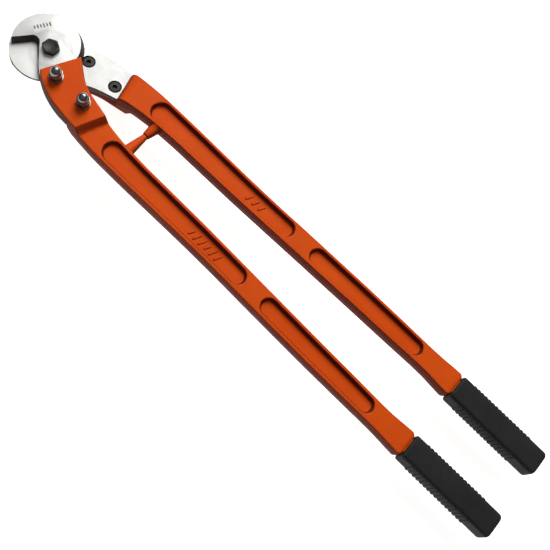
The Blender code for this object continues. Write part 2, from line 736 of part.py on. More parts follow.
def extents(objects):
    graph = bpy.context.evaluated_depsgraph_get()
    low = np.full(3, np.inf)
    high = np.full(3, -np.inf)
    for obj in objects:
        evaluated = obj.evaluated_get(graph)
        mesh = evaluated.to_mesh()
        points = np.empty(len(mesh.vertices) * 3, np.float32)
        mesh.vertices.foreach_get("co", points)
        evaluated.to_mesh_clear()
        points = points.reshape(-1, 3)
        low = np.minimum(low, points.min(axis=0))
        high = np.maximum(high, points.max(axis=0))
    return low, high


def main():
    clear_scene()
    built = build_half("front", over=False) + build_half("back", over=True)
    built.append(build_pivot_bolt())
    built += build_pivot_fasteners()
    pieces = [piece for piece, _ in built]
    for piece in pieces:
        shade_round(piece)
    bpy.context.view_layer.update()
    low, high = extents(pieces)
    pivot_at = Vector((-(low[0] + high[0]) / 2.0, -(low[1] + high[1]) / 2.0, -low[2]))

    # Every piece keeps the pivot axis as its origin. The half that swings hangs on an empty on that axis.
    swing = bpy.data.objects.new("pivot_axis", None)
    swing.empty_display_size = 0.03
    swing.location = pivot_at
    bpy.context.scene.collection.objects.link(swing)
    for piece, helpers in built:
        for obj in [piece, *helpers]:
            if "_back" in obj.name:
                obj.parent = swing
            else:
                obj.location = pivot_at
    bpy.context.view_layer.update()
    print("pivot axis at", [round(c / MM, 2) for c in pivot_at], "mm")


main()
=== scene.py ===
# %% [markdown]
# # A long-handled cable cutter
# Two disc-jawed blades lie face to face on one hexagon-headed bolt. Each blade is bolted to a long cast handle,
# painted orange, with a black rubber grip pushed over its end. The second half of the tool is the first half
# turned over, so nearly every piece is built once and used twice.
# We start by loading the measured frame of the tool. It holds the true sizes, the bodies that move and the hinge.

# %% Load the measured frame
import json
import math

import bmesh
import bpy
import numpy as np
from mathutils import Matrix, Vector

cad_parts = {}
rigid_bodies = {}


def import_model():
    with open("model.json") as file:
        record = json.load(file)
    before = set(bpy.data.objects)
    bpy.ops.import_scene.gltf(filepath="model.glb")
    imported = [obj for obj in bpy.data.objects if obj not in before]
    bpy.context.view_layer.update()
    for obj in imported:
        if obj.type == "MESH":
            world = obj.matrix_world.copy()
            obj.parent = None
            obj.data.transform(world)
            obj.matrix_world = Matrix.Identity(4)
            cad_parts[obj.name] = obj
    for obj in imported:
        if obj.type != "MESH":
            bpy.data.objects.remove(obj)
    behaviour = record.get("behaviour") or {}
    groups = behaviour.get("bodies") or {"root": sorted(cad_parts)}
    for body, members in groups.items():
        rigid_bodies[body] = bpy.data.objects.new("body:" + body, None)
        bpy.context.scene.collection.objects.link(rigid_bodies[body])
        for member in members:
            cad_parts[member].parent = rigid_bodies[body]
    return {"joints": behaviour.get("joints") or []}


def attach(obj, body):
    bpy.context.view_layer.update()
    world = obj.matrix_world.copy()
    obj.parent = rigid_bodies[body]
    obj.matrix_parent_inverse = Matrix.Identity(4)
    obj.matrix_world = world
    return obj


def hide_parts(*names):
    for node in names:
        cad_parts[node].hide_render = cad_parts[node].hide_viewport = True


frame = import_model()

for old in [o for o in bpy.data.objects if o.name in ("Cube", "Light", "Camera")]:
    bpy.data.objects.remove(old)
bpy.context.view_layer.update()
pivot = Vector(frame["joints"][0]["pos_m"])

# %% [markdown]
# ## One working frame for both halves
# Everything on this tool is laid out from the pivot, so it is easiest to draw in millimetres with the pivot at
# the origin, +X running to the grips and the blades meeting at height zero. A finished mesh is then moved once.
# The back half of the real tool is the same casting turned over, so its meshes get half a turn about X first.

# %% Working frame and sizes
MM = 0.001
GAP = 0.3
HALF_TURN = Matrix.Rotation(math.pi, 4, "X")
TO_TOOL = Matrix.Translation(pivot) @ Matrix.Scale(MM, 4)

BLADE_THICK = 10.0
LAP_TOP = 21.0
ARM_HALF = 11.0
SCREW_SPOTS_X = (41.0, 91.0)
SCREW_SPOT_Y = -29.0
GRIP_MIDDLE_Y = -53.0


def new_object(name, mesh):
    made = bpy.data.objects.new(name, mesh)
    bpy.context.scene.collection.objects.link(made)
    return made


def outward(mesh):
    """Merges doubled points and turns every face outwards."""
    work = bmesh.new()
    work.from_mesh(mesh)
    bmesh.ops.remove_doubles(work, verts=work.verts, dist=0.0005)
    bmesh.ops.recalc_face_normals(work, faces=work.faces)
    work.to_mesh(mesh)
    work.free()


def rounded_shading(mesh, angle=34.0):
    for face in mesh.polygons:
        face.use_smooth = True
    mesh.set_sharp_from_angle(angle=math.radians(angle))


def finish_piece(obj, half, stands_for, materials):
    """Puts a piece drawn in working millimetres into the tool, shades it and fastens it to its half."""
    mesh = obj.data
    if half == "back":
        mesh.transform(HALF_TURN)
    mesh.transform(TO_TOOL)
    if not mesh.materials:
        for made in materials:
            mesh.materials.append(made)
    rounded_shading(mesh)
    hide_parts(*stands_for)
    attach(obj, f"{half}_half")
    triangles = sum(len(face.vertices) - 2 for face in mesh.polygons)
    print(f"{obj.name}: {triangles} triangles, stands for {', '.join(stands_for)}")
    return obj


# %% [markdown]
# ## Rings, lathes and cuts
# Most pieces here are turned, sawn or cast, so three small helpers cover them. A *loft* skins a list of closed
# rings. A *lathe* is a loft whose rings are circles. A *cut* is Blender's Boolean, used with the manifold solver,
# which is quick on closed shells and leaves them closed.

# %% Loft, lathe and Boolean helpers
def loft(name, rings, caps=True):
    """Skins closed rings (N x 3 arrays). A ring of one point is a pole."""
    points = np.vstack(rings)
    starts = np.cumsum([0] + [len(ring) for ring in rings])
    faces = []
    for a, b, low, high in zip(starts, starts[1:], rings, rings[1:]):
        count = max(len(low), len(high))
        for i in range(count):
            j = (i + 1) % count
            if len(low) == 1:
                faces.append((a, b + j, b + i))
            elif len(high) == 1:
                faces.append((a + i, a + j, b))
            else:
                faces.append((a + i, a + j, b + j, b + i))
    if caps:
        for start, ring in ((starts[0], rings[0]), (starts[-2], rings[-1])):
            if len(ring) > 2:
                faces.append(tuple(range(start, start + len(ring))))
    mesh = bpy.data.meshes.new(name)
    mesh.from_pydata(points.tolist(), [], faces)
    outward(mesh)
    return new_object(name, mesh)


def circle(radius, steps, centre=(0.0, 0.0), first_deg=0.0):
    angles = np.radians(first_deg + np.arange(steps) * 360.0 / steps)
    return np.column_stack([centre[0] + radius * np.cos(angles), centre[1] + radius * np.sin(angles)])


def lathe(name, profile, steps=64, centre=(0.0, 0.0)):
    """profile: (radius, height) pairs. A radius of zero closes the end with a pole."""
    rings = []
    for radius, z in profile:
        flat = circle(radius, steps if radius else 1, centre)
        rings.append(np.column_stack([flat, np.full(len(flat), z)]))
    return loft(name, rings)


def evaluated_mesh(obj):
    graph = bpy.context.evaluated_depsgraph_get()
    return bpy.data.meshes.new_from_object(obj.evaluated_get(graph))


def cut(piece, tool, operation="DIFFERENCE"):
    """Applies one Boolean and throws the tool away."""
    step = piece.modifiers.new(operation.title(), "BOOLEAN")
    step.operation = operation
    step.solver = "MANIFOLD"
    step.object = tool
    result = evaluated_mesh(piece)
    piece.modifiers.clear()
    piece.data = result
    bpy.data.objects.remove(tool)
    return piece


def joined(name, *objs):
    """One mesh from several closed shells, which may sit into each other."""
    work = bmesh.new()
    for obj in objs:
        work.from_mesh(obj.data)
    mesh = bpy.data.meshes.new(name)
    work.to_mesh(mesh)
    work.free()
    for obj in objs:
        bpy.data.objects.remove(obj)
    return new_object(name, mesh)


def smooth_chain(points, each):
    """Catmull-Rom points through an open chain of 2-D points, each steps to a span."""
    chain = np.asarray(points, float)
    padded = np.vstack([2 * chain[0] - chain[1], chain, 2 * chain[-1] - chain[-2]])
    out = []
    for i in range(len(chain) - 1):
        a, b, c, d = padded[i : i + 4]
        for t in np.arange(each) / each:
            square = (2 * a - 5 * b + 4 * c - d) * t**2
            cube = (3 * b - a - 3 * c + d) * t**3
            out.append(0.5 * (2 * b + (c - a) * t + square + cube))
    out.append(chain[-1])
    return np.array(out)


def soft_ramp(value, run, soft):
    """Rises from 0 to 1 over run with its two corners rounded over soft."""
    shifts = np.linspace(-soft, soft, 7)
    return sum(np.clip((value + s) / run, 0.0, 1.0) for s in shifts) / len(shifts)


ramp_at = [round(float(soft_ramp(value, 1.0, 0.2)), 3) for value in (0.0, 0.5, 1.0)]
print("soft ramp at its start, middle and end:", ramp_at)


# %% [markdown]
# ## Shader groups
# Several finishes share the same small effects, so each effect is one node group with named inputs: edges,
# fine grain, and long scratches. A group only hands back a mask or a height; each material decides what to do
# with it. The edge mask compares the true normal with a rounded one from the Bevel node: they differ only near
# an edge, which is where handling rubs a finish away. Most finishes use it for worn edges; the enamel uses it,
# wider, for painted shade along its edges and in its corners.

# %% Node helper and shader groups
def add(tree, kind, inputs=None, **settings):
    """Adds a node. Inputs are given by name or number and may be values or other nodes' outputs."""
    node = tree.nodes.new(kind)
    for key, value in settings.items():
        setattr(node, key, value)
    for key, value in (inputs or {}).items():
        socket = node.inputs[key]
        if isinstance(value, bpy.types.NodeSocket):
            tree.links.new(value, socket)
        else:
            socket.default_value = value
    return node


def new_group(name, kind, inputs, outputs):
    """inputs and outputs: (name, socket type, default) rows."""
    group = bpy.data.node_groups.new(name, kind)
    for way, rows in (("INPUT", inputs), ("OUTPUT", outputs)):
        for label, socket_type, default in rows:
            socket = group.interface.new_socket(label, in_out=way, socket_type=socket_type)
            if default is not None:
                socket.default_value = default
    return group, group.nodes.new("NodeGroupInput"), group.nodes.new("NodeGroupOutput")


def maths(tree, operation, a, b=0.0):
    return add(tree, "ShaderNodeMath", {0: a, 1: b}, operation=operation).outputs[0]


def spread(tree, value, low, high, to_low=0.0, to_high=1.0):
    """Stretches low..high of a value to to_low..to_high, clamped."""
    inputs = {"Value": value, "From Min": low, "From Max": high, "To Min": to_low, "To Max": to_high}
    return add(tree, "ShaderNodeMapRange", inputs).outputs[0]


FLOAT = "NodeSocketFloat"
VECTOR = "NodeSocketVector"

# Edge mask, for worn edges and for the enamel's painted shade: 1 on an edge, fading over Width, broken up by
# Patches.
edge_wear, g_in, g_out = new_group(
    "edge_wear",
    "ShaderNodeTree",
    [("Width", FLOAT, 0.0008), ("Patches", FLOAT, 120.0), ("Broken", FLOAT, 0.5)],
    [("Mask", FLOAT, None)],
)
rounded = add(edge_wear, "ShaderNodeBevel", {"Radius": g_in.outputs["Width"]}, samples=4)
plain = add(edge_wear, "ShaderNodeNewGeometry")
facing = add(
    edge_wear,
    "ShaderNodeVectorMath",
    {0: rounded.outputs["Normal"], 1: plain.outputs["Normal"]},
    operation="DOT_PRODUCT",
).outputs["Value"]
near_edge = spread(edge_wear, facing, 0.985, 0.80)
where = add(edge_wear, "ShaderNodeTexCoord").outputs["Object"]
patches = add(edge_wear, "ShaderNodeTexNoise", {"Vector": where, "Scale": g_in.outputs["Patches"], "Detail": 4.0})
patchy = spread(edge_wear, patches.outputs[0], 0.38, 0.62)
kept = maths(edge_wear, "SUBTRACT", 1.0, maths(edge_wear, "MULTIPLY", g_in.outputs["Broken"], patchy))
edge_wear.links.new(maths(edge_wear, "MULTIPLY", near_edge, kept), g_out.inputs["Mask"])

# Grain: a fine height for bump and a slow cloud for colour and roughness.
grain, g_in, g_out = new_group(
    "grain",
    "ShaderNodeTree",
    [("Fine", FLOAT, 900.0), ("Cloud", FLOAT, 25.0), ("Detail", FLOAT, 6.0)],
    [("Height", FLOAT, None), ("Cloud", FLOAT, None)],
)
where = add(grain, "ShaderNodeTexCoord").outputs["Object"]
fine_sizes = {"Vector": where, "Scale": g_in.outputs["Fine"], "Detail": g_in.outputs["Detail"]}
fine = add(grain, "ShaderNodeTexNoise", fine_sizes)
cloud = add(grain, "ShaderNodeTexNoise", {"Vector": where, "Scale": g_in.outputs["Cloud"], "Detail": 3.0})
grain.links.new(fine.outputs[0], g_out.inputs["Height"])
grain.links.new(spread(grain, cloud.outputs[0], 0.32, 0.68), g_out.inputs["Cloud"])

# Scratches: long streaks along one direction, given by how much each axis is squeezed.
scratches, g_in, g_out = new_group(
    "scratches",
    "ShaderNodeTree",
    [("Turn", VECTOR, (0.0, 0.0, 0.0)), ("Squeeze", VECTOR, (30.0, 1500.0, 1500.0)), ("Few", FLOAT, 0.5)],
    [("Streaks", FLOAT, None), ("Lines", FLOAT, None)],
)
where = add(scratches, "ShaderNodeTexCoord").outputs["Object"]
turned = add(scratches, "ShaderNodeMapping", {"Vector": where, "Rotation": g_in.outputs["Turn"]})
squeezed = add(
    scratches,
    "ShaderNodeVectorMath",
    {0: turned.outputs[0], 1: g_in.outputs["Squeeze"]},
    operation="MULTIPLY",
)
streaks = add(scratches, "ShaderNodeTexNoise", {"Vector": squeezed.outputs[0], "Scale": 1.0, "Detail": 3.0})
scratches.links.new(streaks.outputs[0], g_out.inputs["Streaks"])
scratches.links.new(spread(scratches, streaks.outputs[0], g_in.outputs["Few"], 0.78), g_out.inputs["Lines"])
print("shader groups:", [g.name for g in bpy.data.node_groups])

# %% [markdown]
# ## Finishes
# The tool has eight finishes. The blades are ground bright steel with dark edges, whose dark is partly
# heat-treated scale and partly painted shade, and a plain mark is etched into them. The handles carry a thick
# orange enamel over a sand casting, which keeps a little of the casting's ripple. Its edges and corners are
# painted redder and
# darker: that is painted shade. Its steep walls are darkened in the material, which real enamel is not: that
# stands in for the shade that a glowing floor takes away, and it makes the arms too dark from the side. Bolts and
# nuts are blackened steel, the cap nuts are bright plated, the washers are plated dull, and the grips are moulded
# rubber.
# Every one mixes at least two colours and has a bump, and all but the etched mark vary their roughness.

# %% Materials
def new_material(name):
    made = bpy.data.materials.new(name)
    made.use_nodes = True
    return made, made.node_tree, made.node_tree.nodes["Principled BSDF"]


def use(tree, group, **values):
    """Places a shader group and sets its named inputs."""
    node = tree.nodes.new("ShaderNodeGroup")
    node.node_tree = group
    for key, value in values.items():
        node.inputs[key].default_value = value
    return node.outputs


def mixed(tree, amount, a, b):
    """Mixes two colours, each a tuple or another node's output."""
    return add(tree, "ShaderNodeMix", {0: amount, 6: a, 7: b}, data_type="RGBA").outputs[2]


def bumped(tree, shader, height, strength, distance):
    bump = add(tree, "ShaderNodeBump", {"Strength": strength, "Distance": distance, "Height": height})
    tree.links.new(bump.outputs[0], shader.inputs["Normal"])


def feed(tree, shader, **values):
    for key, value in values.items():
        socket = shader.inputs[key.replace("_", " ")]
        if isinstance(value, bpy.types.NodeSocket):
            tree.links.new(value, socket)
        else:
            socket.default_value = value


def ground_steel():
    """Bright ground faces: straight grinding lines, smudges, and rings rubbed by the other jaw."""
    made, tree, shader = new_material("ground_steel")
    lines = use(tree, scratches, Turn=(0.0, 0.0, 0.45), Squeeze=(45.0, 2600.0, 300.0), Few=0.56)
    base = use(tree, grain, Fine=2200.0, Cloud=38.0)
    wear_and_shade_edges = use(tree, edge_wear, Width=0.0007, Patches=160.0, Broken=0.7)
    where = add(tree, "ShaderNodeTexCoord").outputs["Object"]
    centred = add(tree, "ShaderNodeVectorMath", {0: where, 1: tuple(pivot)}, operation="SUBTRACT").outputs[0]
    flat = add(tree, "ShaderNodeVectorMath", {0: centred, 1: (1.0, 1.0, 0.0)}, operation="MULTIPLY").outputs[0]
    radius = add(tree, "ShaderNodeVectorMath", {0: flat}, operation="LENGTH").outputs["Value"]
    wobble = add(tree, "ShaderNodeTexNoise", {"Vector": where, "Scale": 9.0, "Detail": 2.0}).outputs[0]
    ring_at = add(tree, "ShaderNodeCombineXYZ", {0: maths(tree, "MULTIPLY", radius, 1400.0), 1: wobble}).outputs[0]
    rings = add(tree, "ShaderNodeTexNoise", {"Vector": ring_at, "Scale": 1.0, "Detail": 2.0}).outputs[0]
    swept_in = spread(tree, radius, 0.0235, 0.0275)
    swept_out = spread(tree, radius, 0.0300, 0.0285)
    swept = maths(tree, "MULTIPLY", swept_in, swept_out)
    ring_marks = maths(tree, "MULTIPLY", swept, spread(tree, rings, 0.35, 0.65))
    colour = mixed(tree, base["Cloud"], (0.80, 0.80, 0.78, 1.0), (0.72, 0.72, 0.70, 1.0))
    colour = mixed(tree, maths(tree, "MULTIPLY", lines["Lines"], 0.30), colour, (0.46, 0.46, 0.45, 1.0))
    colour = mixed(tree, maths(tree, "MULTIPLY", ring_marks, 0.45), colour, (0.48, 0.48, 0.46, 1.0))
    colour = mixed(tree, maths(tree, "MULTIPLY", wear_and_shade_edges["Mask"], 0.35), colour, (0.30, 0.29, 0.28, 1.0))
    rough = spread(tree, base["Cloud"], 0.0, 1.0, 0.46, 0.58)
    rough = maths(tree, "ADD", rough, maths(tree, "MULTIPLY", lines["Lines"], 0.10))
    feed(tree, shader, Base_Color=colour, Metallic=0.22, Roughness=rough, Specular_IOR_Level=0.05)
    height = maths(tree, "ADD", lines["Streaks"], maths(tree, "MULTIPLY", ring_marks, -0.6))
    bumped(tree, shader, height, 0.22, 0.00008)
    return made


def dark_edge_steel():
    """Upright blade faces, ground bevels among them: blue-black, partly scale and partly painted shade and painted
    reflection, scuffed to bare steel on the corners.
    """
    made, tree, shader = new_material("dark_edge_steel")
    base = use(tree, grain, Fine=1500.0, Cloud=90.0)
    wear_and_shade_edges = use(tree, edge_wear, Width=0.0005, Patches=260.0, Broken=0.8)
    colour = mixed(tree, base["Cloud"], (0.030, 0.028, 0.027, 1.0), (0.060, 0.052, 0.048, 1.0))
    colour = mixed(tree, maths(tree, "MULTIPLY", wear_and_shade_edges["Mask"], 0.7), colour, (0.34, 0.33, 0.32, 1.0))
    rough = spread(tree, base["Cloud"], 0.0, 1.0, 0.50, 0.64)
    feed(tree, shader, Base_Color=colour, Metallic=0.2, Roughness=rough, Specular_IOR_Level=0.1)
    bumped(tree, shader, base["Height"], 0.35, 0.0001)
    return made


def blackened_steel():
    """Bolts, nuts and socket screws: oil-blackened steel with a soft sheen and greyed corners."""
    made, tree, shader = new_material("blackened_steel")
    base = use(tree, grain, Fine=1300.0, Cloud=140.0)
    wear_and_shade_edges = use(tree, edge_wear, Width=0.0006, Patches=300.0, Broken=0.6)
    colour = mixed(tree, base["Cloud"], (0.020, 0.020, 0.018, 1.0), (0.040, 0.039, 0.034, 1.0))
    colour = mixed(tree, maths(tree, "MULTIPLY", wear_and_shade_edges["Mask"], 0.4), colour, (0.11, 0.11, 0.10, 1.0))
    rough = spread(tree, base["Cloud"], 0.0, 1.0, 0.40, 0.54)
    feed(tree, shader, Base_Color=colour, Metallic=0.55, Roughness=rough, Specular_IOR_Level=0.25)
    bumped(tree, shader, base["Height"], 0.3, 0.00009)
    return made


def bright_plating():
    """Cap nuts: mirror-bright plate with faint swirls and a few dull spots."""
    made, tree, shader = new_material("bright_plating")
    base = use(tree, grain, Fine=2600.0, Cloud=210.0)
    lines = use(tree, scratches, Turn=(0.3, 0.2, 0.9), Squeeze=(120.0, 2400.0, 900.0), Few=0.6)
    wear_and_shade_edges = use(tree, edge_wear, Width=0.0005, Patches=240.0, Broken=0.6)
    colour = mixed(tree, base["Cloud"], (0.25, 0.245, 0.235, 1.0), (0.17, 0.165, 0.155, 1.0))
    colour = mixed(tree, maths(tree, "MULTIPLY", lines["Lines"], 0.3), colour, (0.13, 0.13, 0.125, 1.0))
    colour = mixed(tree, maths(tree, "MULTIPLY", wear_and_shade_edges["Mask"], 0.4), colour, (0.42, 0.42, 0.40, 1.0))
    rough = spread(tree, base["Cloud"], 0.0, 1.0, 0.18, 0.28)
    feed(tree, shader, Base_Color=colour, Metallic=1.0, Roughness=rough)
    bumped(tree, shader, lines["Streaks"], 0.08, 0.00005)
    return made


def dull_plating():
    """The washers: zinc gone grey, stained brown in patches where paint and oil have run."""
    made, tree, shader = new_material("dull_plating")
    base = use(tree, grain, Fine=1800.0, Cloud=260.0)
    wear_and_shade_edges = use(tree, edge_wear, Width=0.0005, Patches=300.0, Broken=0.5)
    colour = mixed(tree, base["Cloud"], (0.24, 0.23, 0.21, 1.0), (0.13, 0.095, 0.075, 1.0))
    colour = mixed(tree, maths(tree, "MULTIPLY", wear_and_shade_edges["Mask"], 0.7), colour, (0.55, 0.54, 0.52, 1.0))
    rough = spread(tree, base["Cloud"], 0.0, 1.0, 0.34, 0.5)
    feed(tree, shader, Base_Color=colour, Metallic=0.9, Roughness=rough)
    bumped(tree, shader, base["Height"], 0.2, 0.00006)
    return made


def orange_enamel():
    """Thick enamel on a sand casting: a slow ripple, orange-peel, a few dark chips, and painted shade on edges and
    steep walls.
    """
    made, tree, shader = new_material("orange_enamel")
    peel = use(tree, grain, Fine=650.0, Cloud=16.0, Detail=2.0)
    sand = use(tree, grain, Fine=170.0, Cloud=70.0, Detail=5.0)
    wear_and_shade_edges = use(tree, edge_wear, Width=0.0030, Patches=45.0, Broken=0.45)
    chips = use(tree, edge_wear, Width=0.0006, Patches=420.0, Broken=1.0)
    colour = mixed(tree, peel["Cloud"], (0.760, 0.096, 0.007, 1.0), (0.700, 0.080, 0.006, 1.0))
    colour = mixed(tree, maths(tree, "MULTIPLY", sand["Cloud"], 0.16), colour, (0.60, 0.060, 0.012, 1.0))
    # Painted shade: edges and corners, the pocket rims among them, are mixed to a darker red that stands in for
    # shade.
    colour = mixed(tree, maths(tree, "MULTIPLY", wear_and_shade_edges["Mask"], 0.75), colour, (0.50, 0.035, 0.010, 1.0))
    # Painted shade: steep walls are mixed nearly to dark brown, standing in for the shade that the glowing floor
    # takes away.
    normal = add(tree, "ShaderNodeNewGeometry").outputs["Normal"]
    steep = add(tree, "ShaderNodeSeparateXYZ", {0: normal}).outputs["Z"]
    steep = spread(tree, maths(tree, "ABSOLUTE", steep), 0.90, 0.50)
    colour = mixed(tree, maths(tree, "MULTIPLY", steep, 0.92), colour, (0.075, 0.014, 0.010, 1.0))
    chipped = spread(tree, chips["Mask"], 0.86, 0.97)
    colour = mixed(tree, maths(tree, "MULTIPLY", chipped, 0.55), colour, (0.16, 0.05, 0.03, 1.0))
    rough = spread(tree, sand["Cloud"], 0.0, 1.0, 0.36, 0.48)
    feed(tree, shader, Base_Color=colour, Roughness=rough, Specular_IOR_Level=0.03)
    height = maths(tree, "ADD", maths(tree, "MULTIPLY", peel["Height"], 0.35), sand["Height"])
    bumped(tree, shader, height, 0.35, 0.0005)
    return made


def moulded_rubber():
    """Grips: fine moulded grain, dusty grey where hands polish the ridges."""
    made, tree, shader = new_material("moulded_rubber")
    base = use(tree, grain, Fine=1500.0, Cloud=30.0)
    marks = use(tree, scratches, Turn=(0.0, 0.0, 0.7), Squeeze=(60.0, 500.0, 500.0), Few=0.58)
    wear_and_shade_edges = use(tree, edge_wear, Width=0.0011, Patches=110.0, Broken=0.5)
    colour = mixed(tree, base["Cloud"], (0.0130, 0.0140, 0.0136, 1.0), (0.0200, 0.0208, 0.0200, 1.0))
    colour = mixed(tree, maths(tree, "MULTIPLY", wear_and_shade_edges["Mask"], 0.4), colour, (0.060, 0.060, 0.058, 1.0))
    colour = mixed(tree, maths(tree, "MULTIPLY", marks["Lines"], 0.2), colour, (0.055, 0.055, 0.053, 1.0))
    rough = spread(tree, base["Cloud"], 0.0, 1.0, 0.62, 0.76)
    feed(tree, shader, Base_Color=colour, Roughness=rough, Specular_IOR_Level=0.2)
    bumped(tree, shader, base["Height"], 0.4, 0.00015)
    return made


def etched_dark():
    """The etched floor of the plain mark on the blade."""
    made, tree, shader = new_material("etched_dark")
    base = use(tree, grain, Fine=2400.0, Cloud=400.0)
    colour = mixed(tree, base["Cloud"], (0.055, 0.055, 0.058, 1.0), (0.11, 0.11, 0.115, 1.0))
    feed(tree, shader, Base_Color=colour, Metallic=0.4, Roughness=0.6)
    bumped(tree, shader, base["Height"], 0.3, 0.00008)
    return made


STEEL, EDGE, ETCHED, BLACK = ground_steel(), dark_edge_steel(), etched_dark(), blackened_steel()
PLATE, DULL, ENAMEL, RUBBER = bright_plating(), dull_plating(), orange_enamel(), moulded_rubber()
print("finishes:", [m.name for m in (STEEL, EDGE, ETCHED, BLACK, PLATE, DULL, ENAMEL, RUBBER)])

# %% [markdown]
# ## Geometry Nodes trees
# Three things repeat on this tool: whatever stands in a row along the handle (the grip's ribs, the two screws,
# nuts and washers of each half), the turns of the bolt's thread, and the ridges round a socket screw's head.
# Each gets one small tree with named sizes. All end in Realize Instances and Set Material, so what comes out is
# an ordinary mesh that can be exported.

# %% Row, thread and ridge trees
INT = "NodeSocketInt"
MATERIAL = "NodeSocketMaterial"
GEOMETRY = "NodeSocketGeometry"


def tree_end(tree, geometry, g_in, g_out):
    real = add(tree, "GeometryNodeRealizeInstances", {0: geometry}).outputs[0]
    dressed = add(tree, "GeometryNodeSetMaterial", {"Geometry": real, "Material": g_in.outputs["Finish"]})
    tree.links.new(dressed.outputs[0], g_out.inputs["Geometry"])


row_tree, g_in, g_out = new_group(
    "row_along_handle",
    "GeometryNodeTree",
    [
        ("Geometry", GEOMETRY, None),
        ("Piece", "NodeSocketObject", None),
        ("Count", INT, 2),
        ("Pitch", FLOAT, 50.0),
        ("First", VECTOR, (0.0, 0.0, 0.0)),
        ("Finish", MATERIAL, None),
    ],
    [("Geometry", GEOMETRY, None)],
)
stride = add(row_tree, "ShaderNodeCombineXYZ", {"X": g_in.outputs["Pitch"]}).outputs[0]
spots = add(
    row_tree,
    "GeometryNodeMeshLine",
    {"Count": g_in.outputs["Count"], "Start Location": g_in.outputs["First"], "Offset": stride},
    mode="OFFSET",
)
piece_in = add(row_tree, "GeometryNodeObjectInfo", {"Object": g_in.outputs["Piece"], "As Instance": True})
on_spots = add(
    row_tree,
    "GeometryNodeInstanceOnPoints",
    {"Points": spots.outputs[0], "Instance": piece_in.outputs["Geometry"]},
)
tree_end(row_tree, on_spots.outputs[0], g_in, g_out)

thread_tree, g_in, g_out = new_group(
    "screw_thread",
    "GeometryNodeTree",
    [
        ("Geometry", GEOMETRY, None),
        ("Radius", FLOAT, 7.5),
        ("Height", FLOAT, 6.0),
        ("Turns", FLOAT, 3.0),
        ("Tooth", FLOAT, 0.9),
        ("Finish", MATERIAL, None),
    ],
    [("Geometry", GEOMETRY, None)],
)
helix = add(
    thread_tree,
    "GeometryNodeCurveSpiral",
    {
        "Resolution": 48,
        "Rotations": g_in.outputs["Turns"],
        "Start Radius": g_in.outputs["Radius"],
        "End Radius": g_in.outputs["Radius"],
        "Height": g_in.outputs["Height"],
    },
)
tooth = add(
    thread_tree,
    "GeometryNodeCurvePrimitiveCircle",
    {"Resolution": 4, "Radius": g_in.outputs["Tooth"]},
    mode="RADIUS",
)
wound = add(
    thread_tree,
    "GeometryNodeCurveToMesh",
    {"Curve": helix.outputs[0], "Profile Curve": tooth.outputs[0], "Fill Caps": True},
)
tree_end(thread_tree, wound.outputs[0], g_in, g_out)

ridge_tree, g_in, g_out = new_group(
    "ring_of_ridges",
    "GeometryNodeTree",
    [
        ("Geometry", GEOMETRY, None),
        ("Count", INT, 48),
        ("Radius", FLOAT, 7.7),
        ("Ridge", FLOAT, 0.3),
        ("Length", FLOAT, 3.6),
        ("Finish", MATERIAL, None),
    ],
    [("Geometry", GEOMETRY, None)],
)
around = add(
    ridge_tree, "GeometryNodeMeshCircle", {"Vertices": g_in.outputs["Count"], "Radius": g_in.outputs["Radius"]}
)
ridge = add(
    ridge_tree,
    "GeometryNodeMeshCylinder",
    {"Vertices": 6, "Radius": g_in.outputs["Ridge"], "Depth": g_in.outputs["Length"]},
)
on_ring = add(
    ridge_tree, "GeometryNodeInstanceOnPoints", {"Points": around.outputs[0], "Instance": ridge.outputs[0]}
)
tree_end(ridge_tree, on_ring.outputs[0], g_in, g_out)


def grown(name, tree, **values):
    """Runs a tree and returns its result as an object with a plain mesh."""
    host = new_object(name, bpy.data.meshes.new(name))
    step = host.modifiers.new(tree.name, "NODES")
    step.node_group = tree
    sockets = {s.name: s.identifier for s in tree.interface.items_tree if s.in_out == "INPUT"}
    for key, value in values.items():
        step[sockets[key]] = value
    result = evaluated_mesh(host)
    host.modifiers.clear()
    host.data = result
    return host


def row_of(name, single, first, count, pitch, finish):
    made = grown(name, row_tree, Piece=single, Count=count, Pitch=pitch, First=first, Finish=finish)
    bpy.data.objects.remove(single)
    return made


print("geometry trees:", row_tree.name, thread_tree.name, ridge_tree.name)

# %% [markdown]
# ## Blades
# Each blade is a 10 mm plate: a round jaw whose mouth is ground back to a cutting edge, and a tang that the
# handle bolts to. It could be cut from a disc with Booleans, but the ground bevel changes along the mouth, so the
# outline is computed at several heights and skinned. Only the bores, the counterbores for the screw heads and a
# plain etched mark are cut afterwards.

# %% Blade outline
DISC_CENTRE = (-8.0, 2.5)
DISC_RADIUS = 47.5
DISC_FROM_DEG, DISC_TO_DEG = 17.1, 224.0
BEVEL_RUN = 4.0
# The rim bevel stands up, so it takes the dark steel: its dark band round the rim is partly painted shade.
RIM_BEVEL_RUN = 4.6  # ground off the disc's rim beside the lap, fading out over the top of the disc
RIM_BEVEL_DEG = (38.0, 108.0)
RIM_BEVEL_FADE = 0.6  # below 1, the bevel stays wide for longer before it dies out
# The mouth from the tip inwards, with how much of the ground bevel each point has.
MOUTH = np.array(
    [
        (-27.3, -6.8, 1.0),
        (-24.7, -5.1, 0.9),
        (-21.0, -5.4, 0.8),
        (-17.2, -8.3, 0.7),
        (-12.6, -12.4, 0.55),
        (-3.5, -20.3, 0.35),
        (4.5, -27.3, 0.15),
    ]
)
TANG_OUTER = [(12.0, -33.0), (18.5, -37.8), (26.8, -43.0), (38.0, -48.8)]
TANG_OUTER += [(50.3, -53.4), (64.0, -57.0), (78.0, -59.0)]
TANG_END = [(92.8, -59.5), (107.0, -17.9)]
TANG_INNER = [(96.0, -14.2), (85.0, -10.3), (76.0, -6.6), (67.6, -2.2), (58.0, 4.2), (49.6, 10.0), (43.0, 14.0)]


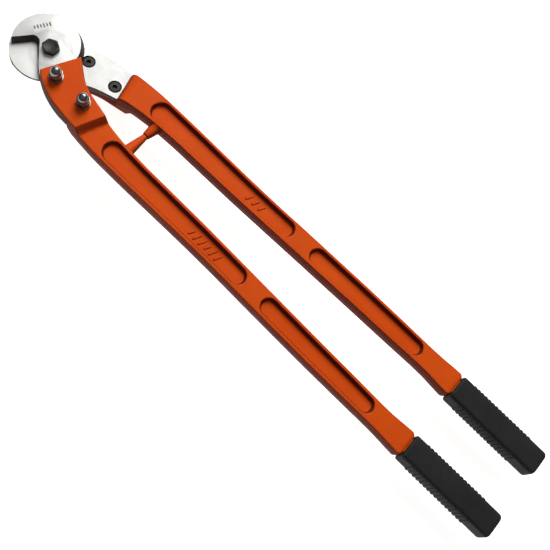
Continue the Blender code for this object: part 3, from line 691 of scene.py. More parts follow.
def soft_corner(before, corner, after, radius=3.0, steps=5):
    before, corner, after = (np.array(p) for p in (before, corner, after))
    start = corner + (before - corner) / np.linalg.norm(before - corner) * radius
    end = corner + (after - corner) / np.linalg.norm(after - corner) * radius
    t = np.linspace(0.0, 1.0, steps)[:, None]
    return start * (1 - t) ** 2 + corner * 2 * t * (1 - t) + end * t**2


def blade_outline(bevel):
    """The outline at one height, its cutting edge moved back by bevel."""
    slide = math.degrees(bevel * 1.05 / DISC_RADIUS)
    degrees = np.linspace(DISC_FROM_DEG, DISC_TO_DEG - slide, 150)
    fade = np.interp(degrees, RIM_BEVEL_DEG, (1.0, 0.0))
    radius = DISC_RADIUS - RIM_BEVEL_RUN * bevel / BEVEL_RUN * fade**RIM_BEVEL_FADE
    angles = np.radians(degrees)
    back = np.column_stack([DISC_CENTRE[0] + radius * np.cos(angles), DISC_CENTRE[1] + radius * np.sin(angles)])
    mouth = smooth_chain(MOUTH, 6)
    flat = mouth[:, :2]
    along = np.gradient(flat, axis=0)
    along /= np.linalg.norm(along, axis=1)[:, None]
    inward = np.column_stack([-along[:, 1], along[:, 0]])
    flat = flat + inward * (mouth[:, 2] * bevel)[:, None]
    outer = smooth_chain(TANG_OUTER, 5)
    end = [soft_corner(TANG_OUTER[-1], TANG_END[0], TANG_END[1])]
    end.append(soft_corner(TANG_END[0], TANG_END[1], TANG_INNER[0]))
    inner = smooth_chain(TANG_INNER, 5)
    return np.vstack([back, flat, outer, *end, inner])


def drawn_in(outline, distance):
    """The counter-clockwise outline moved inwards."""
    before = outline - np.roll(outline, 1, axis=0)
    after = np.roll(outline, -1, axis=0) - outline
    before /= np.linalg.norm(before, axis=1)[:, None]
    after /= np.linalg.norm(after, axis=1)[:, None]
    turn = before + after
    turn /= np.linalg.norm(turn, axis=1)[:, None]
    return outline + np.column_stack([-turn[:, 1], turn[:, 0]]) * distance


def at_height(outline, z):
    return np.column_stack([outline, np.full(len(outline), z)])


print("blade outline points:", len(blade_outline(0.0)))

# %% [markdown]
# The plate's heights go from the shear face upwards: a tiny break on the lower edge, the upright land behind the
# cutting edge, the ground bevel, and a broken upper edge. After the cuts every face is given ground steel if it
# lies flat and dark steel if it stands up. The dark on the upright faces, the ground bevels among them, is partly
# scale and partly painted shade and painted reflection.

# %% Build both blades
PIVOT_RADIUS = 8.0
SCREW_RADIUS = 5.0
COUNTERBORE_RADIUS = 9.0
COUNTERBORE_FLOOR = 6.9
EDGE_BREAK = 0.6
MARK_CENTRE = Vector((-32.9, 15.7, 0.0))
MARK_TURN_DEG = 65.0
MARK_DEEP = 0.15


def bore_tool(name, radius, low, high, centre, break_edge=0.5):
    """A cutter that leaves a small chamfer at both ends of its bore."""
    profile = [
        (radius + break_edge + 1.0, low - 1.0),
        (radius + break_edge, low),
        (radius, low + break_edge),
        (radius, high - break_edge),
        (radius + break_edge, high),
        (radius + break_edge + 1.0, high + 1.0),
    ]
    return lathe(name, profile, 72, centre)


def mark_tool():
    """Six plain upright bars, etched where a maker would sign the blade."""
    bars = []
    for i in range(6):
        tall = 6.4 if i % 2 else 5.0
        half_wide, half_tall = 0.95, tall / 2.0
        flat = circle(0.5, 12, (0.0, 0.0), 15.0)
        flat += np.sign(flat) * (half_wide - 0.5, half_tall - 0.5)
        flat += ((i - 2.5) * 4.2, 0.0)
        rings = [at_height(flat, BLADE_THICK - MARK_DEEP), at_height(flat, BLADE_THICK + 1.0)]
        bars.append(loft(f"bar_{i}", rings))
    tool = joined("mark_tool", *bars)
    tool.data.transform(Matrix.Translation(MARK_CENTRE) @ Matrix.Rotation(math.radians(MARK_TURN_DEG), 4, "Z"))
    return tool


def build_blade(half):
    bottom = GAP / 2.0
    levels = [
        (bottom, drawn_in(blade_outline(0.0), 0.3)),
        (bottom + 0.3, blade_outline(0.0)),
        (bottom + 1.2, blade_outline(0.0)),
        (BLADE_THICK - 0.8, blade_outline(BEVEL_RUN * 0.92)),
        (BLADE_THICK - 0.25, drawn_in(blade_outline(BEVEL_RUN), EDGE_BREAK * 0.35)),
        (BLADE_THICK, drawn_in(blade_outline(BEVEL_RUN), EDGE_BREAK)),
    ]
    blade = loft(f"{half}_blade", [at_height(outline, z) for z, outline in levels])
    cut(blade, bore_tool("pivot_bore", PIVOT_RADIUS + 0.1, bottom, BLADE_THICK, (0.0, 0.0)))
    for x in SCREW_SPOTS_X:
        centre = (x, SCREW_SPOT_Y)
        cut(blade, bore_tool("bore", SCREW_RADIUS + GAP, bottom, BLADE_THICK, centre))
        sunk = [
            (COUNTERBORE_RADIUS + 1.4, bottom - 1.0),
            (COUNTERBORE_RADIUS + 0.4, bottom),
            (COUNTERBORE_RADIUS, bottom + 0.4),
            (COUNTERBORE_RADIUS, COUNTERBORE_FLOOR),
        ]
        cut(blade, lathe("counterbore", sunk, 72, centre))
    if half == "front":
        cut(blade, mark_tool())
    mesh = blade.data
    mesh.materials.clear()
    for made in (STEEL, EDGE, ETCHED):
        mesh.materials.append(made)
    # Upright faces take the dark steel, which is partly scale and partly painted shade and painted reflection.
    for face in mesh.polygons:
        etched_floor = abs(face.center.z - (BLADE_THICK - MARK_DEEP)) < 0.03 and face.normal.z > 0.9
        face.material_index = 2 if etched_floor else 0 if abs(face.normal.z) > 0.9 else 1
    return finish_piece(blade, half, [f"blade_{half}"], ())


blades = [build_blade(half) for half in ("front", "back")]

# %% [markdown]
# ## Handles
# A handle is one iron casting: a thin lap that covers the blade's tang, a sloped step down to a thick arm with
# two long round-ended pockets in each face, and a plain core inside the grip. Cutting pockets with Booleans
# gives hard, machined-looking corners. A casting is soft everywhere, so the handle is skinned from closed
# sections, and the height of each section's upper and lower face is a *rule*: distance to the head, the step and
# the pocket walls decides it, with every ramp rounded.

# %% Handle edges
EDGE_ROUND = 1.8
DRAFT = 0.35
PARTING_HIGH = 0.2
# Pairs of points on the lap's inner and outer edge, from the head end down to the arm.
LAP_PAIRS = [
    ((38.9, 18.0), (18.9, -36.5)),
    ((49.6, 10.2), (26.8, -42.6)),
    ((58.0, 4.0), (38.0, -48.6)),
    ((67.9, -2.8), (50.3, -53.2)),
    ((78.0, -7.6), (64.0, -56.9)),
    ((88.3, -11.0), (78.0, -59.0)),
    ((107.5, -15.2), (93.1, -60.6)),
    ((122.4, -18.4), (108.8, -61.7)),
    ((131.4, -20.2), (117.9, -62.8)),
    ((145.0, -22.5), (145.0, -64.9)),
]
TANG_END_KEY = 6
# The arm: x, inner edge, outer edge, both as distances below the tool's middle line.
ARM = np.array(
    [
        (107.0, 15.2, 60.9),
        (122.0, 18.4, 62.9),
        (130.0, 19.9, 63.7),
        (145.0, 22.5, 64.9),
        (165.0, 24.9, 65.2),
        (206.0, 27.0, 65.4),
        (260.0, 27.5, 64.9),
        (314.0, 28.2, 64.6),
        (367.0, 29.6, 65.2),
        (420.0, 31.2, 66.7),
        (525.0, 34.0, 68.9),
        (590.0, 35.4, 69.4),
        (640.0, 36.9, 69.4),
        (662.0, 36.7, 69.9),
        (680.0, 35.1, 71.3),
        (691.0, 34.6, 71.8),
    ]
)
ARM_END = 697.0
CORE_END = 832.0
CORE_HALF_WIDE, CORE_HALF_THICK = 11.5, 9.0


def arm_edge(x, column):
    """y of the arm's inner (1) or outer (2) edge, with the table's corners smoothed out."""
    near = [np.interp(x + shift, ARM[:, 0], ARM[:, column]) for shift in (-8.0, -4.0, 0.0, 4.0, 8.0)]
    return -sum(near) / len(near)


def behind_line(x, y, a, b):
    """Distance of points from the line a-b, positive on the grips' side."""
    dx, dy = b[0] - a[0], b[1] - a[1]
    return ((x - a[0]) * -dy + (y - a[1]) * dx) / math.hypot(dx, dy)


print("arm width at mid length:", round(float(arm_edge(420.0, 1) - arm_edge(420.0, 2)), 1), "mm")

# %% [markdown]
# The rules themselves. `upper_face` starts at the lap's top, rolls off at the head end, runs down the step, and
# then sinks into the pockets. `lower_face` lies on the tang, drops behind the tang's end, and curves down to the
# arm's underside. Because a point only needs to know its own distances, the same rule serves any spacing.

# %% Handle height rules
POCKETS = ((148.0, 404.0), (437.0, 635.0))
POCKET_RIM = 5.0
POCKET_DEEP = 7.0
POCKET_WALL = 2.6
STEP_RUN = 8.0
STEP_LINE = ((122.0, -19.7), (109.4, -59.8))
HEAD_LINE = ((38.9, 18.0), (18.9, -36.5))
HEAD_ROUND = 1.5
# How the casting's underside falls away behind the tang's end: distance, height.
SHOULDER = np.array([(0.0, -0.9), (2.2, -4.95), (5.5, -8.25), (9.4, -10.3), (13.2, -11.0), (20.0, -11.0)])


def pocket_depth(x, y):
    """How far a face is sunk at each point, the same on both faces."""
    deep = np.zeros_like(x)
    inner, outer = arm_edge(x, 1), arm_edge(x, 2)
    middle = (inner + outer) / 2.0
    half_wide = (inner - outer) / 2.0 - POCKET_RIM
    for start, end in POCKETS:
        past = np.maximum(start + half_wide - x, 0.0) + np.maximum(x - end + half_wide, 0.0)
        inside = half_wide - np.hypot(past, y - middle)
        deep = np.maximum(deep, POCKET_DEEP * soft_ramp(inside, POCKET_WALL, 0.8))
    return deep


def upper_face(x, y):
    from_head = behind_line(x, y, *HEAD_LINE)
    from_step = behind_line(x, y, *STEP_LINE)
    roll = np.clip(HEAD_ROUND - from_head, 0.0, HEAD_ROUND)
    rolled = HEAD_ROUND - np.sqrt(np.maximum(HEAD_ROUND**2 - roll**2, 0.0))
    height = LAP_TOP - rolled - (LAP_TOP - ARM_HALF) * soft_ramp(from_step, STEP_RUN, 0.7)
    return height - pocket_depth(x, y)


def lower_face(x, y, past_tang):
    if not past_tang:
        return np.full_like(x, BLADE_THICK + GAP)
    from_tang = behind_line(x, y, LAP_PAIRS[TANG_END_KEY][1], LAP_PAIRS[TANG_END_KEY][0])
    near = [np.interp(np.abs(from_tang) + s, SHOULDER[:, 0], SHOULDER[:, 1]) for s in (0.0, 0.5, 1.0)]
    return sum(near) / len(near) + pocket_depth(x, y)


for x in (60.0, 126.0, 300.0):
    y = (arm_edge(x, 1) + arm_edge(x, 2)) / 2.0
    print(f"upper face at x {x:.0f}: {float(upper_face(np.array([x]), np.array([y]))[0]):.1f} mm")

# %% [markdown]
# One closed section of the handle: up the inner wall, across the upper face, down the outer wall and back under.
# The walls lean in a little both ways from a fine raised line at half height, because a casting has to slide out
# of its two sand moulds, and their seam always leaves such a line.

# %% One handle section
WALL_SHARES = np.array([0.0, 0.25, 0.45, 0.5, 0.55, 0.75, 1.0])
ROUND_DEG = (22.5, 45.0, 67.5)
RIM_STEPS = (2.4, 3.4, 4.1, 4.6, 5.1, 5.6, 6.2, 6.8, 7.5, 8.4, 9.6)


def handle_section(inner, outer, upper, lower):
    """inner, outer: the section's ends in plan. upper, lower: height rules of x and y arrays."""
    inner, outer = np.array(inner, float), np.array(outer, float)
    wide = np.linalg.norm(outer - inner)
    across = (outer - inner) / wide
    scale = min(1.0, wide / 34.0)
    rim = np.array(RIM_STEPS) * scale
    middle = np.linspace(11.0 * scale, wide - 11.0 * scale, 12)
    face_at = np.concatenate([rim, middle, wide - rim[::-1]])
    bend = np.radians(ROUND_DEG)
    lean = PARTING_HIGH + DRAFT
    round_out = lean + EDGE_ROUND * (1 - np.cos(bend))
    ridge = np.where(WALL_SHARES == 0.5, PARTING_HIGH, 0.0)
    wall_out = PARTING_HIGH + DRAFT * np.abs(2 * WALL_SHARES - 1) - ridge

    def heights(offsets):
        x = inner[0] + across[0] * offsets
        y = inner[1] + across[1] * offsets
        return x, y, upper(x, y), lower(x, y)

    rows = []

    def wall(offsets, shares):
        x, y, top, low = heights(offsets)
        low, top = low + EDGE_ROUND, top - EDGE_ROUND
        rows.append(np.column_stack([x, y, low + (top - low) * shares]))

    def corner(offsets, angles, on_top):
        x, y, top, low = heights(offsets)
        drop = EDGE_ROUND * (1 - np.sin(angles))
        rows.append(np.column_stack([x, y, top - drop if on_top else low + drop]))

    def face(offsets, on_top):
        x, y, top, low = heights(offsets)
        rows.append(np.column_stack([x, y, top if on_top else low]))

    wall(wall_out, WALL_SHARES)
    corner(round_out, bend, True)
    face(face_at, True)
    corner(wide - round_out[::-1], bend[::-1], True)
    wall(wide - wall_out, WALL_SHARES[::-1])
    corner(wide - round_out, bend, False)
    face(face_at[::-1], False)
    corner(round_out[::-1], bend[::-1], False)
    return np.vstack(rows)


# %% [markdown]
# Sections are placed close together where the shape changes quickly, at the head, the step and the pockets'
# round ends, and further apart on the straight runs. The stop pegs that keep the handles apart are turned cones
# whose foot flares into the arm. They are welded on with a Boolean union, like the plain raised bars in the
# pockets that stand where a foundry would cast its own marks.

# %% Handle sections from head to core
def spaced(start, end, step):
    return np.linspace(start, end, max(2, int(round((end - start) / step)) + 1))[:-1]


def level_faces(tall):
    """Height rules of a section whose upper and lower faces are flat."""
    return (lambda x, y: np.full_like(x, tall)), (lambda x, y: np.full_like(x, -tall))


def handle_rings():
    rings = []
    inner = smooth_chain([a for a, _ in LAP_PAIRS], 100)
    outer = smooth_chain([b for _, b in LAP_PAIRS], 100)
    outer_points = [b for _, b in LAP_PAIRS]
    lengths = [np.linalg.norm(np.subtract(*pair)) for pair in zip(outer_points, outer_points[1:])]
    keys = [0.0, 0.03, 0.07, 0.12]
    for i, length in enumerate(lengths):
        keys += list(i + np.arange(1, int(length / 1.7) + 1) / (int(length / 1.7) + 1))
        keys += [i + 1.0] if i + 1 != TANG_END_KEY else [i + 0.995, i + 1.0]
    for key in sorted(set(k for k in keys if k < 9.0)):
        i = int(round(key * 100.0))
        past = key >= TANG_END_KEY
        rings.append(handle_section(inner[i], outer[i], upper_face, lambda x, y, p=past: lower_face(x, y, p)))
    xs = [spaced(145.0, 172.0, 0.9), spaced(172.0, 382.0, 5.0), spaced(382.0, 407.0, 0.9)]
    xs += [spaced(407.0, 434.0, 3.0), spaced(434.0, 460.0, 0.9), spaced(460.0, 612.0, 5.0)]
    xs += [spaced(612.0, 638.0, 0.9), spaced(638.0, 691.01, 2.5)]
    for x in np.concatenate(xs):
        ends = (x, arm_edge(x, 1)), (x, arm_edge(x, 2))
        rings.append(handle_section(*ends, upper_face, lambda x, y: lower_face(x, y, True)))
    middle = (ARM[-1, 1] + ARM[-1, 2]) / -2.0
    half_wide = (ARM[-1, 2] - ARM[-1, 1]) / 2.0
    for share in (0.0, 0.3, 0.6, 0.85, 1.0):
        x = 691.0 + (ARM_END - 691.0) * share
        drawn = 3.2 * share**2
        tall = ARM_HALF - 2.0 * share**3
        ends = (x, middle + half_wide - drawn), (x, middle - half_wide + drawn)
        rings.append(handle_section(*ends, *level_faces(tall)))
    for x in (ARM_END + 0.01, CORE_END):
        ends = (x, GRIP_MIDDLE_Y + CORE_HALF_WIDE), (x, GRIP_MIDDLE_Y - CORE_HALF_WIDE)
        rings.append(handle_section(*ends, *level_faces(CORE_HALF_THICK)))
    return rings


PEG_X = 171.0
PEG_TIPS = {"front": (4.3, 7.05), "back": (5.5, -7.35)}
print("stop pegs at x", PEG_X, "with their tips at y", [tip for _, tip in PEG_TIPS.values()])


def peg(half):
    """A cone that grows out of the arm's inner wall towards the other handle."""
    tip_radius, tip_y = PEG_TIPS[half]
    root = float(arm_edge(PEG_X, 1))
    long = tip_y - root
    profile = [(10.0, -4.0), (10.0, -0.6), (9.6, 0.2), (8.9, 1.2), (8.2, 2.6), (7.7, 4.4)]
    profile += [(7.7 + (tip_radius - 7.7) * t, 4.4 + (long - 5.4) * t) for t in (0.25, 0.5, 0.75, 1.0)]
    profile += [(tip_radius - 0.3, long - 0.35), (tip_radius - 1.0, long)]
    made = lathe("peg", profile, 40)
    made.data.transform(Matrix.Translation((PEG_X, root, 0.0)) @ Matrix.Rotation(-math.pi / 2.0, 4, "X"))
    return made


def cast_bars():
    """Plain raised bars on the pocket floors: six in the upper face, three in the lower one."""
    bars = []
    floor = ARM_HALF - POCKET_DEEP
    rows = [(309.0 + 9.6 * i, 14.0 if i % 3 else 11.0, 3.4, 1, 68.0) for i in range(6)]
    rows += [(327.2 + 11.0 * i, 13.0, 3.6, -1, 112.0) for i in range(3)]
    for x, long, wide, side, turn in rows:
        rings = []
        for z, inwards in ((-1.0, 0.0), (0.7, 0.05), (1.05, 0.3), (1.2, 0.75)):
            flat = circle(wide / 2.0 - inwards, 20, (0.0, 0.0), 9.0)
            flat[:, 0] += np.sign(flat[:, 0]) * (long - wide) / 2.0
            rings.append(at_height(flat, (floor + z) * side))
        bar = loft("bar", rings)
        y = float(arm_edge(x, 1) + arm_edge(x, 2)) / 2.0
        bar.data.transform(Matrix.Translation((x, y, 0.0)) @ Matrix.Rotation(math.radians(turn), 4, "Z"))
        outward(bar.data)
        bars.append(bar)
    return joined("cast_bars", *bars)


def build_handle(half):
    handle = loft(f"{half}_handle", handle_rings())
    cut(handle, peg(half), "UNION")
    cut(handle, cast_bars(), "UNION")
    for x in SCREW_SPOTS_X:
        cut(handle, bore_tool("bore", SCREW_RADIUS + GAP, BLADE_THICK + GAP, LAP_TOP, (x, SCREW_SPOT_Y)))
    handle.data.materials.clear()
    return finish_piece(handle, half, [f"handle_{half}"], [ENAMEL])


handles = [build_handle(half) for half in ("front", "back")]

# %% [markdown]
# ## Grips
# The grip is a rubber sleeve moulded with a closed, rounded end and a row of square ribs down both edges. The
# sleeve is one loft that turns inside at its mouth and runs back as the hollow that takes the handle's core. The
# ribs all have one shape, so one pair is modelled and the row tree repeats it sixteen times.

# %% Build both grips
GRIP_START, GRIP_END = 698.0, 846.0
GRIP_HALF_WIDE, GRIP_HALF_THICK = 18.25, 15.0
GRIP_CORNER = 5.0
GRIP_END_ROUND = 6.0
RIB_PITCH, RIB_COUNT, RIB_HIGH, FIRST_RIB = 6.3, 16, 1.1, 716.0 + 2.45


def sleeve_section(x, half_wide, half_thick, corner):
    """A rounded rectangle standing across the grip, always with the same number of points."""
    rows = []
    for quarter, (sy, sz) in enumerate(((1, 1), (-1, 1), (-1, -1), (1, -1))):
        angles = np.radians(90.0 * quarter + np.linspace(0.0, 90.0, 8))
        y = sy * (half_wide - corner) + corner * np.cos(angles)
        z = sz * (half_thick - corner) + corner * np.sin(angles)
        rows.append(np.column_stack([np.full(8, x), y + GRIP_MIDDLE_Y, z]))
    return np.vstack(rows)


def quarter_round(run, radius):
    """How far a face is drawn in at a distance run before a rounded end."""
    run = min(max(run, 0.0), radius)
    return radius - math.sqrt(max(radius**2 - (radius - run) ** 2, 0.0))


def grip_sleeve():
    rings = []
    end_runs = (0.0, 0.25, 0.8, 1.6, 2.6, 4.0, 5.6, 7.2, 9.0, 14.0)
    for run in end_runs:
        wide = GRIP_HALF_WIDE - quarter_round(run, GRIP_END_ROUND)
        thick = GRIP_HALF_THICK - quarter_round(run, 5.0)
        rings.append(sleeve_section(GRIP_END - run, wide, thick, min(GRIP_CORNER, wide * 0.6, thick * 0.6)))
    for run in (60.0, 20.0, 6.0, 3.4, 1.8, 0.8, 0.2, 0.0):
        wide = GRIP_HALF_WIDE - quarter_round(run, 3.4) * 0.8
        thick = GRIP_HALF_THICK - quarter_round(run, 2.2)
        rings.append(sleeve_section(GRIP_START + run, wide, thick, GRIP_CORNER))
    mouth_wide, mouth_thick = CORE_HALF_WIDE + GAP, CORE_HALF_THICK + GAP
    for x in (GRIP_START + 0.05, CORE_END + GAP):
        rings.append(sleeve_section(x, mouth_wide, mouth_thick, 1.8))
    return loft("sleeve", rings)


def rib_pair():
    """One rib on each edge: a bar with sloping flanks that runs round both corners of the section."""
    depth = 1.4
    path = [(GRIP_HALF_WIDE - 2.3, 13.6), (GRIP_HALF_WIDE - 0.85, 12.6)]
    path += [(GRIP_HALF_WIDE, 10.4), (GRIP_HALF_WIDE, 0.0)]
    path += [(y, -z) for y, z in reversed(path[:-1])]
    path = np.array(path)
    facing_up = [(0.64, 0.77), (0.8, 0.6), (0.98, 0.2)]
    facing_out = np.array([*facing_up, (1.0, 0.0), *[(y, -z) for y, z in reversed(facing_up)]])
    proud = np.array([0.25, 0.85, 1.0, 1.0, 1.0, 0.85, 0.25]) * RIB_HIGH
    sides = []
    for side in (1.0, -1.0):
        rings = []
        for (y, z), (ny, nz), high in zip(path, facing_out, proud):
            profile = ((-1.95, -depth), (-1.95, 0.1), (-1.5, high - 0.12), (-1.2, high))
            profile += ((1.2, high), (1.5, high - 0.12), (1.95, 0.1), (1.95, -depth))
            ring = [(x, (y + ny * out) * side, (z + nz * out)) for x, out in profile]
            rings.append(np.array(ring))
        sides.append(loft("rib", rings))
    return joined("rib_pair", *sides)


def build_grip(half):
    ribs = row_of("ribs", rib_pair(), (FIRST_RIB, GRIP_MIDDLE_Y, 0.0), RIB_COUNT, RIB_PITCH, RUBBER)
    grip = grip_sleeve()
    cut(grip, ribs, "UNION")
    grip.name = f"{half}_grip"
    grip.data.materials.clear()
    return finish_piece(grip, half, [f"grip_{half}"], [RUBBER])


grips = [build_grip(half) for half in ("front", "back")]

# %% [markdown]
# ## Pivot bolt, washer and nuts
# A hexagon head is a prism whose corners are turned away by a cone, which leaves the curved lines on its flats.
# That is exactly how it is made here: a hexagon, and a turned shape that it is trimmed to with an intersection.
# The thread is one triangular tooth wound on a helix by the thread tree, sunk into the plain shank.

# %% Hexagon pieces
HEX_TURN_DEG = 1.0


def hexagon(across_flats, low, high, turn_deg, corner=0.5):
    """A hexagon prism with slightly rounded upright corners."""
    points = circle(across_flats / 2.0 / math.cos(math.pi / 6.0), 6, (0.0, 0.0), turn_deg)
    outline = [soft_corner(points[i - 1], points[i], points[(i + 1) % 6], corner * 2.0, 4) for i in range(6)]
    flat = np.vstack(outline)
    return loft("hexagon", [at_height(flat, low), at_height(flat, high)])


def trimmed_hexagon(across_flats, low, high, turn_deg, chamfer_low=True, face_share=0.97):
    """A hexagon whose corners are turned off at about thirty degrees, down to a round face at each turned end."""
    flat_radius = across_flats / 2.0 * face_share
    reach = across_flats / 2.0 / math.cos(math.pi / 6.0) + 0.6
    fall = (reach - flat_radius) * math.tan(math.radians(28.0))
    body = hexagon(across_flats, low - 0.5, high + 0.5, turn_deg)
    profile = [(reach, low)]
    if chamfer_low:
        profile = [(flat_radius, low), (reach, low + fall)]
    profile += [(reach, high - fall), (flat_radius, high)]
    return cut(body, lathe("trim", profile, 96), "INTERSECT")


def threaded(name, radius, low, high, pitch):
    """A helix of triangular teeth from low to high."""
    turns = (high - low) / pitch
    made = grown(name, thread_tree, Radius=radius - 0.75, Height=high - low, Turns=turns, Tooth=0.72, Finish=BLACK)
    made.data.transform(Matrix.Translation((0.0, 0.0, low)))
    return made


PIVOT_HEAD_AF, PIVOT_HEAD_HIGH = 21.0, 6.0
NUT_AF, NUT_HIGH, LOCK_HIGH = 24.0, 9.0, 5.0
WASHER_RADIUS, WASHER_THICK = 15.0, 2.2
washer_top = -BLADE_THICK - GAP
nut_top = washer_top - WASHER_THICK - GAP
lock_top = nut_top - NUT_HIGH - GAP
bolt_end = lock_top - LOCK_HIGH - 2.0

# %% [markdown]
# The bolt is the one piece that both blades turn on. Its head is a trimmed hexagon with a shallow dish, its shank
# is turned, and the thread is laid round it. The shank is joined to the head with a union, so the two are one
# closed body. The thread is a closed body of its own in the same piece, with its teeth sunk into the shank.

# %% Pivot bolt
head_low = BLADE_THICK + GAP
head_high = head_low + PIVOT_HEAD_HIGH
head_turn = HEX_TURN_DEG + 30.0
head = trimmed_hexagon(PIVOT_HEAD_AF, head_low, head_high, head_turn, chamfer_low=False, face_share=1.05)
dish = [(8.6, head_high + 1.0), (8.6, head_high), (8.2, head_high - 0.25), (0.0, head_high - 0.25)]
cut(head, lathe("dish", dish[::-1], 96))
shank_profile = [(PIVOT_RADIUS - 1.6, bolt_end), (PIVOT_RADIUS - 0.9, bolt_end + 0.8)]
shank_profile += [(PIVOT_RADIUS - 0.9, nut_top + 1.0), (PIVOT_RADIUS, nut_top + 2.0)]
shank_profile += [(PIVOT_RADIUS, head_low + 1.0)]
cut(head, lathe("shank", shank_profile, 64), "UNION")
thread = threaded("thread", PIVOT_RADIUS, bolt_end + 0.9, nut_top, 2.0)
pivot_piece = joined("pivot_hex_bolt", head, thread)
pivot_piece.data.materials.clear()
finish_piece(pivot_piece, "front", ["pivot_bolt"], [BLACK])

# %% [markdown]
# Under the blades come a washer, a thick nut and a thin one that locks it. A stamped washer has rounded edges, so
# it is a ring of a few circles and needs no Boolean. Both nuts are the same trimmed hexagon with a bored hole.

# %% Pivot washer and nuts
WASHER_BREAK = 0.35


def flat_ring(name, outer, bore, low, high, chamfer):
    """A washer with its stamped edges rounded."""
    profile = [
        (bore, low + chamfer),
        (bore + chamfer, low),
        (outer - chamfer, low),
        (outer - chamfer * 0.3, low + chamfer * 0.3),
        (outer, low + chamfer),
        (outer, high - chamfer),
        (outer - chamfer * 0.3, high - chamfer * 0.3),
        (outer - chamfer, high),
        (bore + chamfer, high),
        (bore, high - chamfer),
    ]
    rings = [at_height(circle(radius, 80), z) for radius, z in profile]
    rings.append(rings[0])
    return loft(name, rings, caps=False)


pivot_ring = flat_ring(
    "pivot_flat_washer", WASHER_RADIUS, PIVOT_RADIUS + GAP, washer_top - WASHER_THICK, washer_top, WASHER_BREAK
)
finish_piece(pivot_ring, "front", ["pivot_washer"], [DULL])
for name, node, top, tall in (
    ("pivot_thick_nut", "pivot_nut", nut_top, NUT_HIGH),
    ("pivot_thin_nut", "pivot_lock_nut", lock_top, LOCK_HIGH),
):
    nut = trimmed_hexagon(NUT_AF, top - tall, top, HEX_TURN_DEG)
    cut(nut, bore_tool("bore", PIVOT_RADIUS + GAP, top - tall, top, (0.0, 0.0), 0.8))
    nut.name = name
    nut.data.materials.clear()
    finish_piece(nut, "front", [node], [BLACK])

# %% [markdown]
# ## Tang screws, cap nuts and washers
# Each half has two low-head socket screws whose heads lie sunk in the blade, and two domed nuts on washers on
# the outside of the handle. One of each is modelled at the origin and the row tree sets out the pair. The ridges
# round the screw head are what a socket screw is tightened by hand with, and come from the ridge tree.

# %% One socket screw
SCREW_HEAD_LOW, SCREW_HEAD_HIGH = 0.6, 6.6
SCREW_HEAD_RADIUS = 8.0
SCREW_END = 33.1
SOCKET_AF, SOCKET_DEEP = 6.0, 3.5
SOCKET_TURN_DEG = 20.0


def socket_screw():
    radius = SCREW_HEAD_RADIUS
    low, high = SCREW_HEAD_LOW, SCREW_HEAD_HIGH
    profile = [
        (0.0, low),
        (5.0, low),
        (5.25, low + 0.3),
        (5.9, low + 0.3),
        (6.15, low),
        (radius - 0.9, low),
        (radius - 0.55, low + 0.12),
        (radius - 0.25, low + 0.55),
        (radius - 0.25, high),
        (SCREW_RADIUS, high),
        (SCREW_RADIUS, SCREW_END - 1.0),
        (SCREW_RADIUS - 1.0, SCREW_END),
        (0.0, SCREW_END),
    ]
    screw = lathe("screw", profile, 56)
    socket = hexagon(SOCKET_AF, low - 1.0, low + SOCKET_DEEP, SOCKET_TURN_DEG, 0.2)
    cut(screw, socket)
    half_socket = SOCKET_AF / 2.0
    lead_in = [(half_socket + 1.5, low - 1.0), (half_socket + 0.5, low), (half_socket - 0.2, low + 0.7)]
    cut(screw, lathe("lead_in", lead_in, 56))
    ridges = grown("ridges", ridge_tree, Count=44, Radius=radius - 0.3, Ridge=0.28, Length=4.6, Finish=BLACK)
    ridges.data.transform(Matrix.Translation((0.0, 0.0, low + 3.3)))
    return joined("socket_screw", screw, ridges)


print("socket screw length:", round(SCREW_END - SCREW_HEAD_LOW, 1), "mm")


# %% [markdown]
# A cap nut is a hexagon with a dome that closes it. The dome is an arc turned about the axis and joined to the
# hexagon. The bore stops inside, as it does on the real nut, so the screw's end is covered.

# %% One cap nut
CAP_WASHER_LOW = LAP_TOP + GAP
CAP_WASHER_THICK = 2.0
CAP_NUT_LOW = CAP_WASHER_LOW + CAP_WASHER_THICK + GAP
CAP_NUT_AF, CAP_HEX_HIGH, CAP_HIGH = 17.0, 8.0, 18.0
DOME_RADIUS = 7.9
CAP_NUT_TURN_DEG = 12.0
CAP_BORE_DEEP = 12.5
CAP_WASHER_RADIUS = 10.0


def cap_nut():
    low, top = CAP_NUT_LOW, CAP_NUT_LOW + CAP_HIGH
    nut = trimmed_hexagon(CAP_NUT_AF, low, low + CAP_HEX_HIGH, CAP_NUT_TURN_DEG)
    centre = top - DOME_RADIUS
    neck = DOME_RADIUS - 0.7
    profile = [(neck, low + 4.0), (neck, low + CAP_HEX_HIGH + 0.2)]
    profile += [(DOME_RADIUS, low + CAP_HEX_HIGH + 0.7)]
    for angle in np.radians(np.linspace(0.0, 84.0, 15)):
        profile.append((DOME_RADIUS * math.cos(angle), centre + DOME_RADIUS * math.sin(angle)))
    profile.append((0.0, top))
    cut(nut, lathe("dome", profile, 64), "UNION")
    cut(nut, bore_tool("bore", SCREW_RADIUS + GAP, low, low + CAP_BORE_DEEP, (0.0, 0.0), 0.6))
    return nut


print("cap nut from", round(CAP_NUT_LOW, 1), "to", round(CAP_NUT_LOW + CAP_HIGH, 1), "mm")


# %% [markdown]
# Each fastener has been modelled once, at the origin. The row tree copies it to both holes of a half, and the
# second half gets the same pieces turned over with it. Each kind of fastener is one piece on each half.

# %% Set out the fasteners of both halves
def set_out(half, name, single, finish, nodes):
    first = (SCREW_SPOTS_X[0], SCREW_SPOT_Y, 0.0)
    pitch = SCREW_SPOTS_X[1] - SCREW_SPOTS_X[0]
    pair = row_of(f"{half}_{name}", single, first, len(SCREW_SPOTS_X), pitch, finish)
    finish_piece(pair, half, [f"{nodes}_{half}_{i}" for i in (1, 2)], [finish])


